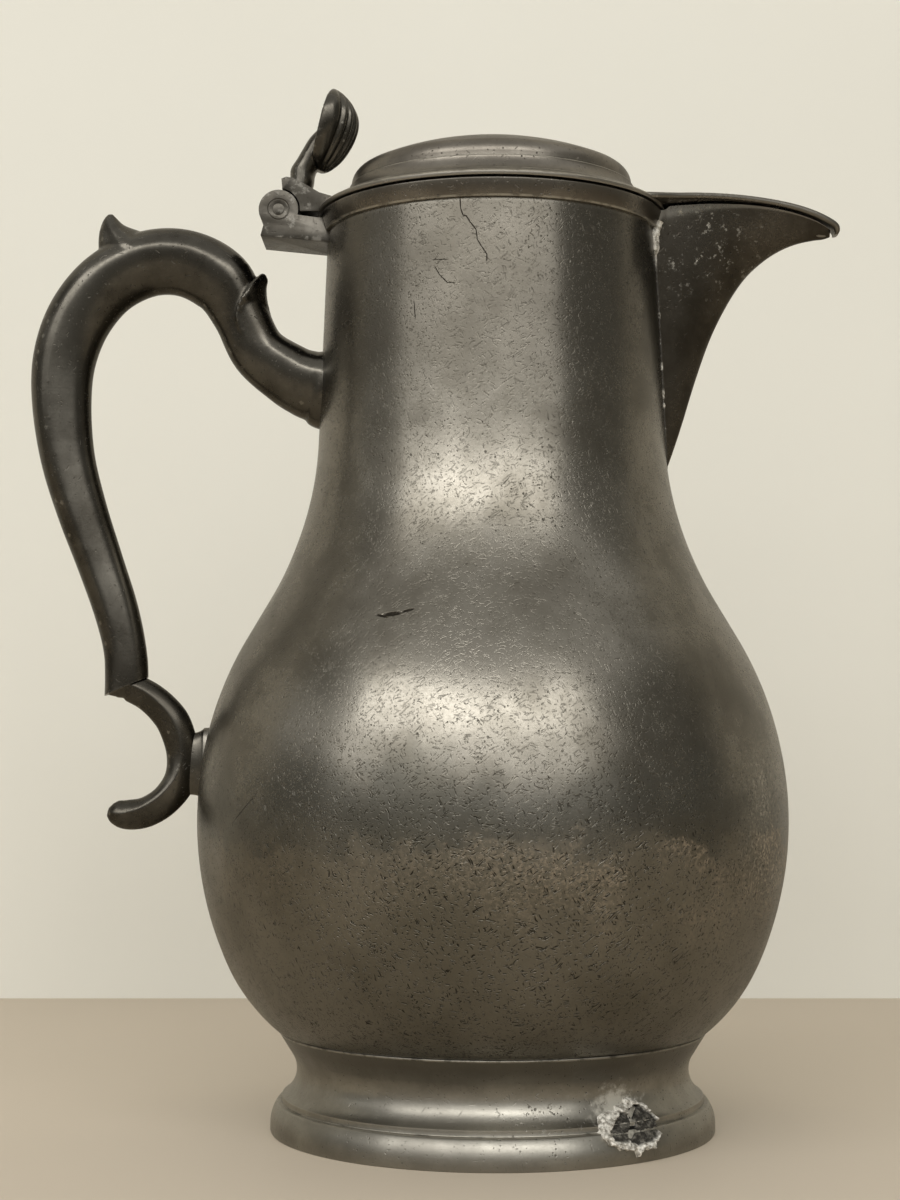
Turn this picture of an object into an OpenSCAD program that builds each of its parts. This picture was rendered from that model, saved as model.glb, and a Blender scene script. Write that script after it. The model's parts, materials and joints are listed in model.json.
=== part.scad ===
// Pear-shaped pewter flagon with a beak spout, a scroll handle and a hinged domed lid.
// Millimetres. Z is up, the origin is the centre of the foot's underside.
// The spout points to +X, the handle to -X, and the hinge pin lies along Y.

/* [Body] */
// Largest radius of the belly
belly_r = 90; // [86:0.5:94]
// Height of the widest point above the table
belly_z = 94; // [92:0.5:97]
// Radius of the belly's round outline
belly_round = 107; // [104:0.5:110]
// Radius of the tighter curve under the belly
under_round = 55; // [52:0.5:58]
// Angle below level at which the tighter curve starts
under_angle = 24; // [22:0.5:26]
// Slope of the straight shoulder, in degrees from upright
shoulder_slope = 30.5; // [29:0.5:31.5]
// Length of the straight part of the shoulder
shoulder_len = 14; // [11:0.5:17]
// Radius of the hollow curve from the shoulder to the neck
shoulder_round = 106; // [100:0.5:112]
// Slope of the neck, in degrees from upright
neck_slope = 2.3; // [1.5:0.1:3]
// Height of the neck's upper end
neck_top_z = 274; // [272:0.5:275]
// Thickness of the cast wall
wall = 2.4; // [2:0.1:2.8]

/* [Foot] */
// Height of the seam between foot and body
seam_z = 30; // [29:0.5:32]
// How far the foot's base band stands out past the seam
band_out = 2.4; // [1.6:0.1:3.6]
// Height of the base band
band_h = 9; // [8:0.2:10]
// Height of the upright part of the base band
band_flat = 2.5; // [1.5:0.1:4]
// Radius of the band's rounded shoulder
band_round = 10.7; // [9.5:0.1:14]
// How far the ridge above the base band lies inside the seam
ridge_in = 1.1; // [0.6:0.1:1.6]
// How far the waist lies inside the seam
waist_in = 5.5; // [5:0.1:6]
// Height of the waist
waist_z = 18.5; // [18:0.1:19]
// Radius of the hollow curve of the waist
waist_round = 9; // [8.6:0.1:9.6]
// Thickness of the foot's wall
foot_wall = 3; // [2.4:0.1:3.4]
// How far the disc that closes the bottom lies inside the seam
disc_in = 2; // [1.8:0.1:2.4]
// Thickness of that disc
disc_t = 2; // [1.5:0.1:2.5]
// Width of the ledge that carries the disc
ledge_w = 3; // [2.6:0.1:3.4]
// Radius of the solder that fills the hole in the foot
repair_r = 6.5; // [5:0.1:7]
// Height of the repair on the foot
repair_z = 10.5; // [9.5:0.1:11.5]
// Bearing of the repair, in degrees from the spout
repair_turn = -55; // [-70:1:-40]
// Upward tilt of the repair
repair_tilt = 24; // [18:1:30]
// How far the repair stands proud of the ridge radius
repair_proud = 2.4; // [2:0.1:3]
// How far the repair reaches inward
repair_deep = 6; // [5.5:0.1:7]

/* [Collar] */
// How far the collar's lower edge stands out from the neck
collar_stand = 1.1; // [0.9:0.1:1.5]
// How much further its upper edge stands out
collar_flare = 1.6; // [1.2:0.1:2]
// Height of the collar
collar_h = 5.4; // [5:0.1:6]

/* [Spout] */
// Length of the spout from the neck to its tip
spout_len = 53.6; // [50:0.1:58]
// Half width of the spout's rim at the neck
spout_half = 13.5; // [12.5:0.1:14.5]
// Depth of the spout from its rim to the keel's foot
spout_drop = 77; // [72:0.5:80]
// Wall thickness of the spout
spout_wall = 1.8; // [1.5:0.1:2.2]

/* [Lid] */
// Gap between collar and lid
lid_gap = 0.5; // [0.4:0.05:0.8]
// How far the flange stands out past the collar
flange_over = 0.4; // [0.2:0.1:1]
// Thickness of the flange's edge
flange_edge = 1.4; // [1.2:0.1:1.8]
// Width of the flange up to its inner edge line
flange_w = 4; // [3.4:0.1:4.6]
// Rise of the flange from its edge to that line
lip_rise = 2; // [1.6:0.1:2.4]
// Width of the hollow between that line and the dome
cove_w = 5.6; // [5:0.1:6.2]
// Height of the dome's foot above the flange's underside
dome_foot = 8.6; // [8.2:0.1:9]
// Radius of the dome's round shoulder
dome_round = 5; // [4.4:0.1:6]
// Radius of the dome's crown
crown_round = 100; // [94:1:110]
// Wall thickness of the lid
lid_wall = 2; // [1.6:0.1:2.2]
// Depth of the groove round the dome's foot
groove_depth = 0.8; // [0.6:0.1:1]
// Thickness of the beak plate
beak_t = 1.6; // [1.3:0.1:2]
// Half width of the beak plate where it leaves the flange
beak_half = 25; // [23:0.5:27]

/* [Hinge] */
// Distance of the pin from the collar
pin_out = 12.07; // [11.4:0.01:12.8]
// Height of the pin above the collar's top
pin_rise = 1.1; // [0.9:0.1:1.3]
// Radius of the pin
pin_r = 1.85; // [1.6:0.05:2]
// Radius of the knuckles
knuckle_r = 6.1; // [5.8:0.1:6.4]
// Width of the hinge along the pin
hinge_w = 20; // [19:0.5:22]
// Width of the lid's middle knuckle
middle_w = 7.4; // [7:0.1:8]
// Gap round moving parts of the hinge
hinge_gap = 0.5; // [0.4:0.05:0.6]
// Radial clearance of the pin in the middle knuckle
pin_play = 0.05; // [0.03:0.01:0.08]
// Depth of the block below the pin
block_drop = 8.1; // [7.8:0.1:8.6]

/* [Thumbpiece] */
// Height of the shell
shell_h = 26; // [24:0.5:28]
// Depth of the shell from its rim to its back
shell_deep = 11; // [10:0.2:12]
// Half width of the shell
shell_half = 12; // [10.5:0.2:13]
// Depth of the flutes
flute = 0.55; // [0.3:0.05:0.7]
// Number of ribs across the shell
ribs = 9; // [7:2:11]
// Thickness of the stem
stem_t = 7; // [6.4:0.1:7.6]

/* [Handle] */
// Gap between the belly's widest point and the scroll's land
boss_gap = 2.1; // [1.8:0.1:2.6]
// Reach of the handle out from that land
handle_out = 51; // [48:0.5:54]
// Depth of the handle's top below the collar's
handle_fall = 3.4; // [2.4:0.1:4.4]
// Height of the handle from its heel to its top
handle_h = 146; // [143:0.5:148]
// Thickness of the handle at the grip's top
handle_t = 20; // [18.5:0.2:21]
// Width of the boss between scroll and belly
boss_w = 8.6; // [7.6:0.2:9.4]
// Height of that boss
boss_h = 20; // [18:0.2:21]

/* [Hidden] */
$fn = 96;
// Overrun that carries a cut past the face it opens
over = 0.02 * belly_r;
// Hair's breadth by which a curve laps the line or curve it runs into
lap = 0.00004 * belly_r;

pewter = [0.43, 0.42, 0.39];
pewter_dark = [0.34, 0.33, 0.30];
solder = [0.62, 0.62, 0.58];

// Body: centres of the tangent arcs, then the heights where one curve hands over to the next
belly_c = [belly_r - belly_round, belly_z];
under_c = belly_c + (belly_round - under_round) * [cos(under_angle), -sin(under_angle)];
slope_out = [cos(shoulder_slope), sin(shoulder_slope)];
slope_up = [-sin(shoulder_slope), cos(shoulder_slope)];
shoulder_c = belly_c + (belly_round + shoulder_round) * slope_out + shoulder_len * slope_up;
rim_z = neck_top_z + collar_h;
lid_z = rim_z + lid_gap;

function under_end(inset) = belly_z - (belly_round - inset) * sin(under_angle);
function belly_end(inset) = belly_c + (belly_round - inset) * slope_out;
function cone_end(inset) = belly_end(inset) + shoulder_len * slope_up;
function neck_start(inset) =
    shoulder_c - (shoulder_round + inset) * [cos(neck_slope), sin(neck_slope)];
function neck_r(z, inset) =
    neck_start(inset)[0] - (z - neck_start(inset)[1]) * tan(neck_slope);
function under_r(z, inset) =
    under_c[0] + sqrt(pow(under_round + lap - inset, 2) - pow(under_c[1] - z, 2));

// Radii and places that follow the body: the foot from its seam, the rest from the neck's end
seam_r = under_r(seam_z, 0);
foot_r = seam_r + band_out;
ridge_r = seam_r - ridge_in;
waist_r = seam_r - waist_in;
disc_r = seam_r - disc_in;
ledge_r = disc_r - ledge_w;
collar_low_r = neck_r(neck_top_z, 0) + collar_stand;
collar_top_r = collar_low_r + collar_flare;
flange_r = collar_top_r + flange_over;
lip_r = flange_r - flange_w;
dome_r = lip_r - cove_w;
root_x = collar_low_r;
spout_reach = root_x + spout_len;
pin_at = [-collar_top_r - pin_out, rim_z + pin_rise];

// Flat outline of the body from the axis to its outer face, moved inward by inset:
// a straight-edged core, with the two round bulges added and the hollow shoulder taken away
module body_outline(inset, top_z, low_z) {
    under = [belly_c[0] + (belly_round - inset) * cos(under_angle), under_end(inset)];
    shoulder_low = cone_end(inset)[1] - shoulder_len / 3;
    shoulder_high = neck_start(inset)[1] + shoulder_len / 3;
    difference() {
        union() {
            polygon([[0, low_z], [under_r(low_z, inset + lap), low_z], under, belly_end(inset + lap),
                cone_end(inset + lap), neck_start(inset), [neck_r(top_z, inset), top_z], [0, top_z]]);
            intersection() {
                translate(under_c) circle(under_round + lap - inset);
                translate([under_c[0], low_z]) square([belly_r, belly_z - low_z]);
            }
            intersection() {
                translate(belly_c) circle(belly_round - inset);
                translate([under_c[0], under[1]]) square([belly_r, shoulder_low - under[1]]);
            }
        }
        intersection() {
            translate(shoulder_c) circle(shoulder_round + inset + 2 * lap);
            translate([0, shoulder_low]) square([belly_r, shoulder_high - shoulder_low]);
        }
    }
}

// Solid inside of the body's outer face, used to shape what is soldered to it
module body_solid() {
    rotate_extrude($fn = 360) body_outline(0, neck_top_z, seam_z);
}

module body_shell(from_z, to_z) {
    rotate_extrude() intersection() {
        difference() {
            body_outline(0, neck_top_z, seam_z);
            body_outline(wall, neck_top_z + over, seam_z - over);
        }
        translate([0, from_z]) square([belly_r + over, to_z - from_z]);
    }
}

module body_lower() {
    color(pewter) body_shell(seam_z, belly_z);
}

module body_upper() {
    color(pewter) difference() {
        body_shell(belly_z, neck_top_z);
        spout_way();
    }
}

module base_disc() {
    color(pewter_dark) translate([0, 0, seam_z - disc_t]) cylinder(r = disc_r, h = disc_t);
}

// Foot: flat outline from the axis to its outer face, moved inward by inset
waist_c = [waist_r + waist_round, waist_z];

function waist_low(inset) =
    waist_z - sqrt(pow(waist_round + inset, 2) - pow(waist_c[0] - ridge_r + inset, 2));
function waist_high(inset, top_r) = let (
    to_top = [top_r, seam_z] - waist_c,
    turn = atan2(to_top[1], to_top[0]) + acos((waist_round + inset) / norm(to_top)))
    waist_c + (waist_round + inset) * [cos(turn), sin(turn)];

module foot_outline(inset, top_r) {
    intersection() {
        translate([foot_r - band_round, band_flat]) circle(band_round - inset);
        translate([0, band_flat]) square([foot_r, band_h - inset - band_flat]);
    }
    square([foot_r - inset, band_flat]);
    square([foot_r - band_round, band_h - inset]);
    difference() {
        polygon([[0, 0], [ridge_r - inset, 0], [ridge_r - inset, waist_low(inset)],
            waist_high(inset, top_r), [top_r, seam_z], [0, seam_z]]);
        translate(waist_c) circle(waist_round + inset + lap);
    }
}

module foot() {
    color(pewter) difference() {
        rotate_extrude() difference() {
            foot_outline(0, seam_r);
            difference() {
                foot_outline(foot_wall, ledge_r);
                translate([ledge_r, seam_z - disc_t - foot_wall])
                    square([foot_r, disc_t + foot_wall]);
            }
            translate([0, seam_z - disc_t]) square([disc_r, disc_t + over]);
            translate([0, -over]) square([foot_r - foot_wall, 2 * over]);
        }
        repair_bar();
    }
}

// Round bar of solder across the foot's wall
module repair_bar() {
    rotate([0, 0, repair_turn]) translate([ridge_r, 0, repair_z]) rotate([0, 90 - repair_tilt, 0])
        translate([0, 0, -repair_deep]) cylinder(r = repair_r, h = repair_deep + repair_proud);
}

module foot_repair() {
    color(solder) repair_bar();
}

// Collar: plain flared band on the neck's end, open where the spout meets it
module collar_outline(bore_r) {
    polygon([[bore_r, neck_top_z], [collar_low_r, neck_top_z], [collar_top_r, rim_z],
        [bore_r, rim_z]]);
}

module rim_collar() {
    color(pewter) difference() {
        rotate_extrude() collar_outline(neck_r(neck_top_z, wall));
        spout_way();
    }
}

// Solid inside of the neck and collar's outer face, carried on upward past the rim
module neck_and_collar() {
    inside_r = 0.9 * collar_low_r;
    rotate_extrude($fn = 360) union() {
        body_outline(0, neck_top_z, seam_z);
        polygon([[0, neck_top_z - over], [inside_r, neck_top_z - over], [inside_r, neck_top_z],
            [collar_low_r, neck_top_z], [collar_top_r, rim_z], [collar_top_r, lid_z + over],
            [0, lid_z + over]]);
    }
}

// Smooth curve through a list of points, with an equal number of steps between points
function curve_at(list, i, t) =
    let (a = list[max(i - 1, 0)], b = list[i], c = list[i + 1], d = list[min(i + 2, len(list) - 1)])
    0.5 * (2 * b + (c - a) * t + (2 * a - 5 * b + 4 * c - d) * t * t
        + (3 * b - a - 3 * c + d) * t * t * t);
function smooth(list, steps) = concat(
    [for (i = [0 : len(list) - 2]) for (k = [0 : steps - 1]) curve_at(list, i, k / steps)],
    [list[len(list) - 1]]);

// Skin over a row of closed rings that all have the same even number of points.
// Each ring runs clockwise when seen along the row, and point i faces point n - 1 - i.
module skin(rings) {
    n = len(rings[0]);
    m = len(rings);
    sides = [for (j = [0 : m - 2]) for (i = [0 : n - 1]) for (f = [0, 1])
        let (a = j * n + i, b = j * n + (i + 1) % n)
        f == 0 ? [a, a + n, b] : [b, a + n, b + n]];
    first = [for (i = [0 : n / 2 - 2]) for (f = [0, 1])
        f == 0 ? [i, i + 1, n - 1 - i] : [i + 1, n - 2 - i, n - 1 - i]];
    last = [for (t = first) [for (k = [2, 1, 0]) (m - 1) * n + t[k]]];
    polyhedron(points = [for (r = rings) for (p = r) p], faces = concat(sides, first, last),
        convexity = 8);
}

// Spout: shares of reach beyond the neck, then shares of drop for rim and keel, of half width,
// and the exponent that rounds the section from a V to a U
spout_root = root_x;
spout_shares = [
    [-0.12, 0.005, 1.290, 1.12, 0.80],
    [0.00, 0.010, 1.085, 1.00, 0.80],
    [0.06, 0.017, 0.985, 0.97, 0.80],
    [0.13, 0.022, 0.842, 0.94, 0.78],
    [0.21, 0.027, 0.662, 0.90, 0.75],
    [0.30, 0.031, 0.488, 0.85, 0.70],
    [0.40, 0.033, 0.348, 0.78, 0.64],
    [0.50, 0.033, 0.244, 0.70, 0.58],
    [0.60, 0.029, 0.177, 0.62, 0.54],
    [0.70, 0.021, 0.130, 0.53, 0.50],
    [0.80, 0.008, 0.100, 0.43, 0.50],
    [0.90, -0.012, 0.084, 0.32, 0.50],
    [0.96, -0.030, 0.079, 0.23, 0.50],
    [1.00, -0.044, 0.070, 0.12, 0.50]];
spout_steps = 2;
spout_run = smooth(spout_shares, spout_steps);
half_shares = [1, 0.8, 0.6, 0.42, 0.26, 0.12, 0.04];

function rim_height(s) = rim_z + spout_drop * s[1];
function keel_height(s) = rim_z - spout_drop * s[2];
function spout_x(s) = spout_root + (spout_reach - spout_root) * s[0];

// One side of a V or U section, from its rim down to its keel
function vee(half, high, low, power) =
    [for (h = half_shares) [half * pow(h, power), low + (high - low) * h]];
function mirror_y(list) = [for (i = [len(list) - 1 : -1 : 0]) [-list[i][0], list[i][1]]];

function spout_ring(s) = let (
    high = rim_height(s), low = keel_height(s), half = spout_half * s[3],
    inner_half = half - min(spout_wall, 0.45 * half),
    inner_low = low + min(spout_wall * max(1, 0.8 * (high - low) / half), 0.6 * (high - low)),
    outer = vee(half, high, low, s[4]),
    inner = vee(inner_half, high, inner_low, s[4]),
    loop = concat(outer, [[0, low]], mirror_y(outer),
        [for (p = inner) [-p[0], p[1]]], [[0, inner_low]],
        [for (i = [len(inner) - 1 : -1 : 0]) inner[i]]))
    [for (p = loop) [spout_x(s), -p[0], p[1]]];

module spout() {
    color(pewter) difference() {
        skin([for (s = spout_run) spout_ring(s)]);
        neck_and_collar();
        // Room for the lid's flange above the rim
        translate([0, 0, rim_z]) cylinder(r = flange_r + lid_gap, h = spout_drop);
    }
}

// Opening through neck and collar behind the spout, inside the spout's own walls
module spout_way() {
    way_half = spout_half - 2.2 * spout_wall;
    low_z = rim_z - 0.74 * spout_drop;
    translate([spout_root - 6 * wall, 0, 0]) rotate([90, 0, 90])
        linear_extrude(height = 10 * wall)
        polygon([[-way_half, rim_z + over], [way_half, rim_z + over],
            [0.3 * way_half, low_z], [-0.3 * way_half, low_z]]);
}

// Handle: shares of reach and height for the middle line, and of thickness
handle_shares = [
    [-0.035, 0.655, 1.22], [0.050, 0.668, 1.12], [0.120, 0.690, 1.00], [0.224, 0.740, 0.88],
    [0.288, 0.819, 0.86], [0.354, 0.889, 1.03], [0.471, 0.929, 1.045], [0.604, 0.929, 1.035],
    [0.737, 0.888, 1.03], [0.834, 0.815, 1.02], [0.886, 0.726, 0.98], [0.895, 0.630, 0.92],
    [0.873, 0.514, 0.84], [0.824, 0.404, 0.78], [0.758, 0.288, 0.72], [0.705, 0.192, 0.69],
    [0.673, 0.110, 0.66], [0.665, 0.045, 0.67], [0.672, -0.030, 0.63]];
scroll_shares = [
    [0.700, 0.075, 0.66], [0.650, 0.026, 0.61], [0.604, 0.010, 0.485], [0.545, -0.015, 0.515],
    [0.499, -0.053, 0.52], [0.474, -0.113, 0.50], [0.480, -0.167, 0.50], [0.528, -0.211, 0.475],
    [0.593, -0.237, 0.47], [0.654, -0.243, 0.46], [0.694, -0.239, 0.38], [0.718, -0.234, 0.24]];
// Half of the handle's cross-section: outward share, then sideways share, with an arris
section_shares = [[1, 0], [0.93, 0.40], [0.72, 0.75], [0.42, 1.0], [0, 0.97], [-0.5, 0.84],
    [-0.86, 0.5], [-1, 0]];
handle_steps = 3;
scroll_steps = 3;
side_share = 0.86;

// Share of the reach at which the scroll faces the belly; inside it the handle follows the body
land_share = 0.44;
land_reach = belly_r + boss_gap - root_x;
heel_z = rim_z - handle_fall - handle_h;

function reach_at(share) = share < land_share ? land_reach * share / land_share :
    land_reach + handle_out * (share - land_share) / (1 - land_share);
function place(s) = [-root_x - reach_at(s[0]), heel_z + handle_h * s[1]];
function loop_section() = concat(section_shares,
    [for (i = [len(section_shares) - 2 : -1 : 1]) [section_shares[i][0], -section_shares[i][1]]]);

// Rings square to the middle line; turn is 1 or -1 and sets which side the arris is on
function tube_rings(list, turn) = [for (i = [0 : len(list) - 1]) let (
    here = place(list[i]),
    ahead = place(list[min(i + 1, len(list) - 1)]) - place(list[max(i - 1, 0)]),
    along = ahead / norm(ahead),
    out = turn * [along[1], -along[0]],
    half = handle_t * list[i][2] / 2)
    [for (p = loop_section()) let (q = here + half * p[0] * out)
        [q[0], turn * half * side_share * p[1], q[1]]]];

// Plane of the joint between the handle's heel and the C-scroll
joint_at = place([0.656, 0.024]);
joint_slope = 33;

module below_joint() {
    translate([joint_at[0], 0, joint_at[1]]) rotate([0, -joint_slope, 0])
        translate([-handle_t, -handle_t, -2 * handle_t]) cube(2 * handle_t);
}

// Leaf spur: shares of reach and height, then half length and half width as shares of thickness
top_spur_shares = [[0.690, 0.930, 0.52, 0.36], [0.708, 0.975, 0.35, 0.29], [0.727, 1.004, 0.20, 0.19],
    [0.737, 1.022, 0.10, 0.11], [0.740, 1.031, 0.03, 0.04]];
inner_spur_shares = [[0.262, 0.835, 0.30, 0.34], [0.232, 0.872, 0.17, 0.25], [0.206, 0.889, 0.08, 0.14],
    [0.198, 0.894, 0.03, 0.05]];
spur_sides = 16;

module spur(list) {
    first = place(list[0]);
    tip = place(list[len(list) - 1]);
    axis = (tip - first) / norm(tip - first);
    skin([for (s = list) let (c = place(s)) [for (k = [0 : spur_sides - 1]) let (
        a = 360 * k / spur_sides, q = c + handle_t * s[2] * cos(a) * [axis[1], -axis[0]])
        [q[0], handle_t * s[3] * sin(a), q[1]]]]);
}

module handle() {
    color(pewter_dark) difference() {
        union() {
            skin(tube_rings(smooth(handle_shares, handle_steps), 1));
            spur(top_spur_shares);
            spur(inner_spur_shares);
        }
        body_solid();
        below_joint();
    }
}

// Flat land on the scroll's outer side that the boss is soldered to
boss_at = place([land_share, -0.136]);

module handle_scroll() {
    color(pewter_dark) difference() {
        skin(tube_rings(smooth(scroll_shares, scroll_steps), -1));
        translate([joint_at[0], 0, joint_at[1]]) rotate([0, -joint_slope, 0])
            translate([-handle_t, -handle_t, 0]) cube(2 * handle_t);
        translate([boss_at[0], -handle_t, boss_at[1] - handle_t]) cube(2 * handle_t);
    }
}

module handle_boss() {
    color(pewter_dark) difference() {
        translate([boss_at[0], 0, boss_at[1]]) rotate([0, 90, 0]) {
            for (side = [-1, 1]) translate([side * (boss_h - boss_w) / 2, 0, 0])
                cylinder(r = boss_w / 2, h = belly_r / 2);
            translate([-(boss_h - boss_w) / 2, -boss_w / 2, 0])
                cube([boss_h - boss_w, boss_w, belly_r / 2]);
        }
        body_solid();
    }
}

// Lid: outline of its outer face from the axis, raised by lift and moved inward by inset
function dome_c() = [dome_r - groove_depth - dome_round, lid_z + dome_foot + 0.22 * dome_round];
crown_z = dome_c()[1] - sqrt(pow(crown_round - dome_round, 2) - pow(dome_c()[0], 2));
crown_turn = atan2(dome_c()[0], dome_c()[1] - crown_z);
dome_foot_z = lid_z + dome_foot;

module lid_dome(inset) {
    intersection() {
        translate([0, crown_z]) circle(crown_round - inset);
        translate([0, dome_c()[1]]) square([(crown_round - inset) * sin(crown_turn), crown_round]);
    }
    intersection() {
        translate(dome_c()) circle(dome_round - inset);
        translate(dome_c()) square([dome_round, dome_round]);
    }
    translate([0, lid_z]) square([dome_r - groove_depth - inset, dome_c()[1] - lid_z]);
}

module lid_outline() {
    lid_dome(0);
    lip_z = lid_z + flange_edge + lip_rise;
    polygon([[0, lid_z], [flange_r, lid_z], [flange_r, lid_z + flange_edge], [lip_r, lip_z],
        [dome_r + 0.3 * (lip_r - dome_r), lip_z + 0.35 * (dome_foot_z - lip_z)],
        [dome_r, dome_foot_z], [0, dome_foot_z]]);
}

module lid() {
    color(pewter) rotate_extrude() difference() {
        lid_outline();
        difference() {
            lid_dome(lid_wall);
            translate([0, lid_z - over]) square([belly_r, over]);
        }
        translate([0, lid_z - over]) square([dome_r - groove_depth - lid_wall, 2 * over]);
    }
}

module lid_solid() {
    rotate_extrude() lid_outline();
}

// Beak: shares of the spout's length, of its drop for the underside, of half width, then the lean
// of the plate's end and its thickness share
beak_shares = [
    [-0.16, 0.004, 1.06, 0.00, 1.0], [-0.07, 0.008, 1.00, 0.00, 1.0], [0.06, 0.017, 0.86, 0.00, 1.0],
    [0.20, 0.027, 0.74, 0.00, 1.0], [0.35, 0.033, 0.62, 0.00, 1.0], [0.50, 0.033, 0.51, 0.02, 1.0],
    [0.65, 0.026, 0.41, 0.05, 1.0], [0.78, 0.012, 0.33, 0.12, 1.05], [0.88, -0.007, 0.27, 0.25, 1.1],
    [0.95, -0.026, 0.22, 0.45, 1.15], [1.00, -0.043, 0.17, 0.75, 1.15], [1.012, -0.058, 0.13, 1.0, 1.0],
    [1.012, -0.072, 0.09, 1.1, 0.7]];
beak_steps = 2;
across_shares = [-1, -0.5, 0, 0.5, 1];
beak_crown_share = 0.2;

function beak_ring(s) = let (
    x = spout_x(s) + hinge_gap * s[3], z = rim_z + spout_drop * s[1] + 1.1 * hinge_gap,
    half = beak_half * s[2], t = beak_t * s[4], lean = 90 - 80 * min(s[3], 1),
    up = t * [cos(lean), sin(lean)])
    concat([for (a = across_shares) [x, half * a, z]],
        [for (k = [len(across_shares) - 1 : -1 : 0]) let (a = across_shares[k],
            lift = 1 + beak_crown_share * (1 - a * a))
            [x + up[0] * lift, half * a, z + up[1] * lift]]);

module lid_beak() {
    color(pewter) difference() {
        skin([for (s = smooth(beak_shares, beak_steps)) beak_ring(s)]);
        lid_solid();
    }
}

// Hinge: everything is drawn flat in X and Z and given its width along Y
module along_pin(width) {
    translate([0, width / 2, 0]) rotate([90, 0, 0]) linear_extrude(height = width) children();
}

module at_pin(r, width) {
    translate([pin_at[0], width / 2, pin_at[1]]) rotate([90, 0, 0]) cylinder(r = r, h = width);
}

// Block: shares of the knuckle's radius, from the pin, for its shoulder and its rounded back
block_low_share = -0.9;
block_top_shares = [-0.42, -0.28];
block_back_shares = [[-0.8, -0.6], [-0.75, -0.76]];
hinge_fall_share = 0.1;

block_low = pin_at + [block_low_share * knuckle_r, -block_drop];
root_in = -collar_low_r + 2 * wall;
root_low = [root_in, block_low[1] - hinge_fall_share * (root_in - block_low[0])];

module hinge_block() {
    tops = [for (s = block_top_shares) pin_at[1] + s * knuckle_r];
    color(pewter) difference() {
        union() {
            at_pin(knuckle_r, hinge_w);
            along_pin(hinge_w) polygon(concat(
                [block_low, root_low, [root_in, tops[0]], [-collar_top_r, tops[0]],
                    [pin_at[0] + knuckle_r, tops[1]], pin_at],
                [for (s = block_back_shares) pin_at + knuckle_r * s]));
        }
        at_pin(knuckle_r + hinge_gap, middle_w + 2 * hinge_gap);
        at_pin(pin_r, hinge_w + over);
        neck_and_collar();
    }
}

module hinge_pin() {
    color(pewter_dark) at_pin(pin_r, hinge_w);
}

// Lug: its humped outline from heel to lid, as shares of the heel's radius from the pin
lug_shares = [[0.17, 1.02], [0.13, 1.45], [0.35, 1.54], [0.62, 1.50], [1.15, 1.24], [1.90, 0.80],
    [2.45, 0.64], [3.00, 0.42]];

module lug_leaf() {
    heel = knuckle_r + hinge_gap;
    hump = [for (s = lug_shares) pin_at + heel * s];
    along_pin(hinge_w) polygon(concat([pin_at], hump,
        [[hump[len(hump) - 1][0], lid_z], [pin_at[0] + heel, lid_z]]));
}

module hinge_lug() {
    color(pewter) difference() {
        union() {
            lug_leaf();
            at_pin(knuckle_r, middle_w);
        }
        for (side = [-1, 1])
            translate([0, side * (middle_w + hinge_w) / 2, 0]) at_pin(knuckle_r + hinge_gap, hinge_w);
        at_pin(pin_r + pin_play, hinge_w + over);
        lid_solid();
    }
}

// Thumbpiece: a leaning stem and a scallop shell whose ribs run from the stem to the tip
// Place of the shell's foot from the pin, as shares of the shell's height
shell_foot_shares = [0.362, 0.573];
shell_foot = pin_at + shell_h * shell_foot_shares;
shell_lean = 13;
// Share of height, of depth, of half width, shift of the rim toward the lid, and the hollow's share
shell_shares = [
    [0.00, 0.16, 0.16, 0.24, 0.00], [0.03, 0.40, 0.34, 0.10, 0.00], [0.09, 0.62, 0.52, 0.01, 0.00],
    [0.18, 0.79, 0.70, -0.01, 0.02], [0.30, 0.92, 0.85, -0.01, 0.16], [0.44, 1.01, 0.95, 0.00, 0.40],
    [0.58, 1.04, 1.00, 0.01, 0.56], [0.72, 0.97, 0.97, 0.02, 0.60], [0.84, 0.77, 0.85, 0.04, 0.56],
    [0.93, 0.50, 0.62, 0.07, 0.45], [0.98, 0.28, 0.38, 0.10, 0.25], [1.00, 0.14, 0.20, 0.14, 0.00]];
rib_steps = 4;

function shell_ring(s) = let (
    n = ribs * rib_steps, deep = shell_deep * s[1], half = shell_half * s[2], z = shell_h * s[0],
    front = [for (k = [0 : n]) let (a = -90 + 180 * k / n,
        dip = flute * min(1, 2 * s[1]) * (0.5 - 0.5 * cos(360 * k / rib_steps)))
        [shell_deep * s[3] + (deep - dip) * cos(a), (half - dip) * sin(a)]],
    back = [for (k = [0 : n]) let (a = 90 - 180 * k / n)
        [shell_deep * s[3] - 0.02 * deep + s[4] * (deep - flute) * cos(a), 0.88 * half * sin(a)]])
    [for (p = concat(front, back)) [p[0], p[1], z]];

stem_shares = [[-0.090, -0.350, 0.48, 1.00], [-0.110, -0.195, 0.46, 0.98], [-0.120, -0.040, 0.42, 0.92],
    [-0.095, 0.100, 0.38, 0.90], [-0.020, 0.215, 0.34, 0.86], [0.075, 0.310, 0.28, 0.74]];
stem_sides = 16;

module thumbpiece() {
    color(pewter_dark) difference() {
        translate([shell_foot[0], 0, shell_foot[1]]) rotate([0, shell_lean, 0]) union() {
            skin([for (s = shell_shares) shell_ring(s)]);
            skin([for (s = smooth(stem_shares, 2)) [for (k = [0 : stem_sides - 1]) let (
                a = 360 * k / stem_sides)
                [shell_h * s[0] + stem_t * s[3] / 2 * cos(a), shell_half * s[2] * sin(a), shell_h * s[1]]]]);
        }
        lug_leaf();
        lid_solid();
    }
}

body_lower();
body_upper();
base_disc();
foot();
foot_repair();
rim_collar();
spout();
hinge_block();
hinge_pin();
handle();
handle_scroll();
handle_boss();
lid();
lid_beak();
hinge_lug();
thumbpiece();
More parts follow.
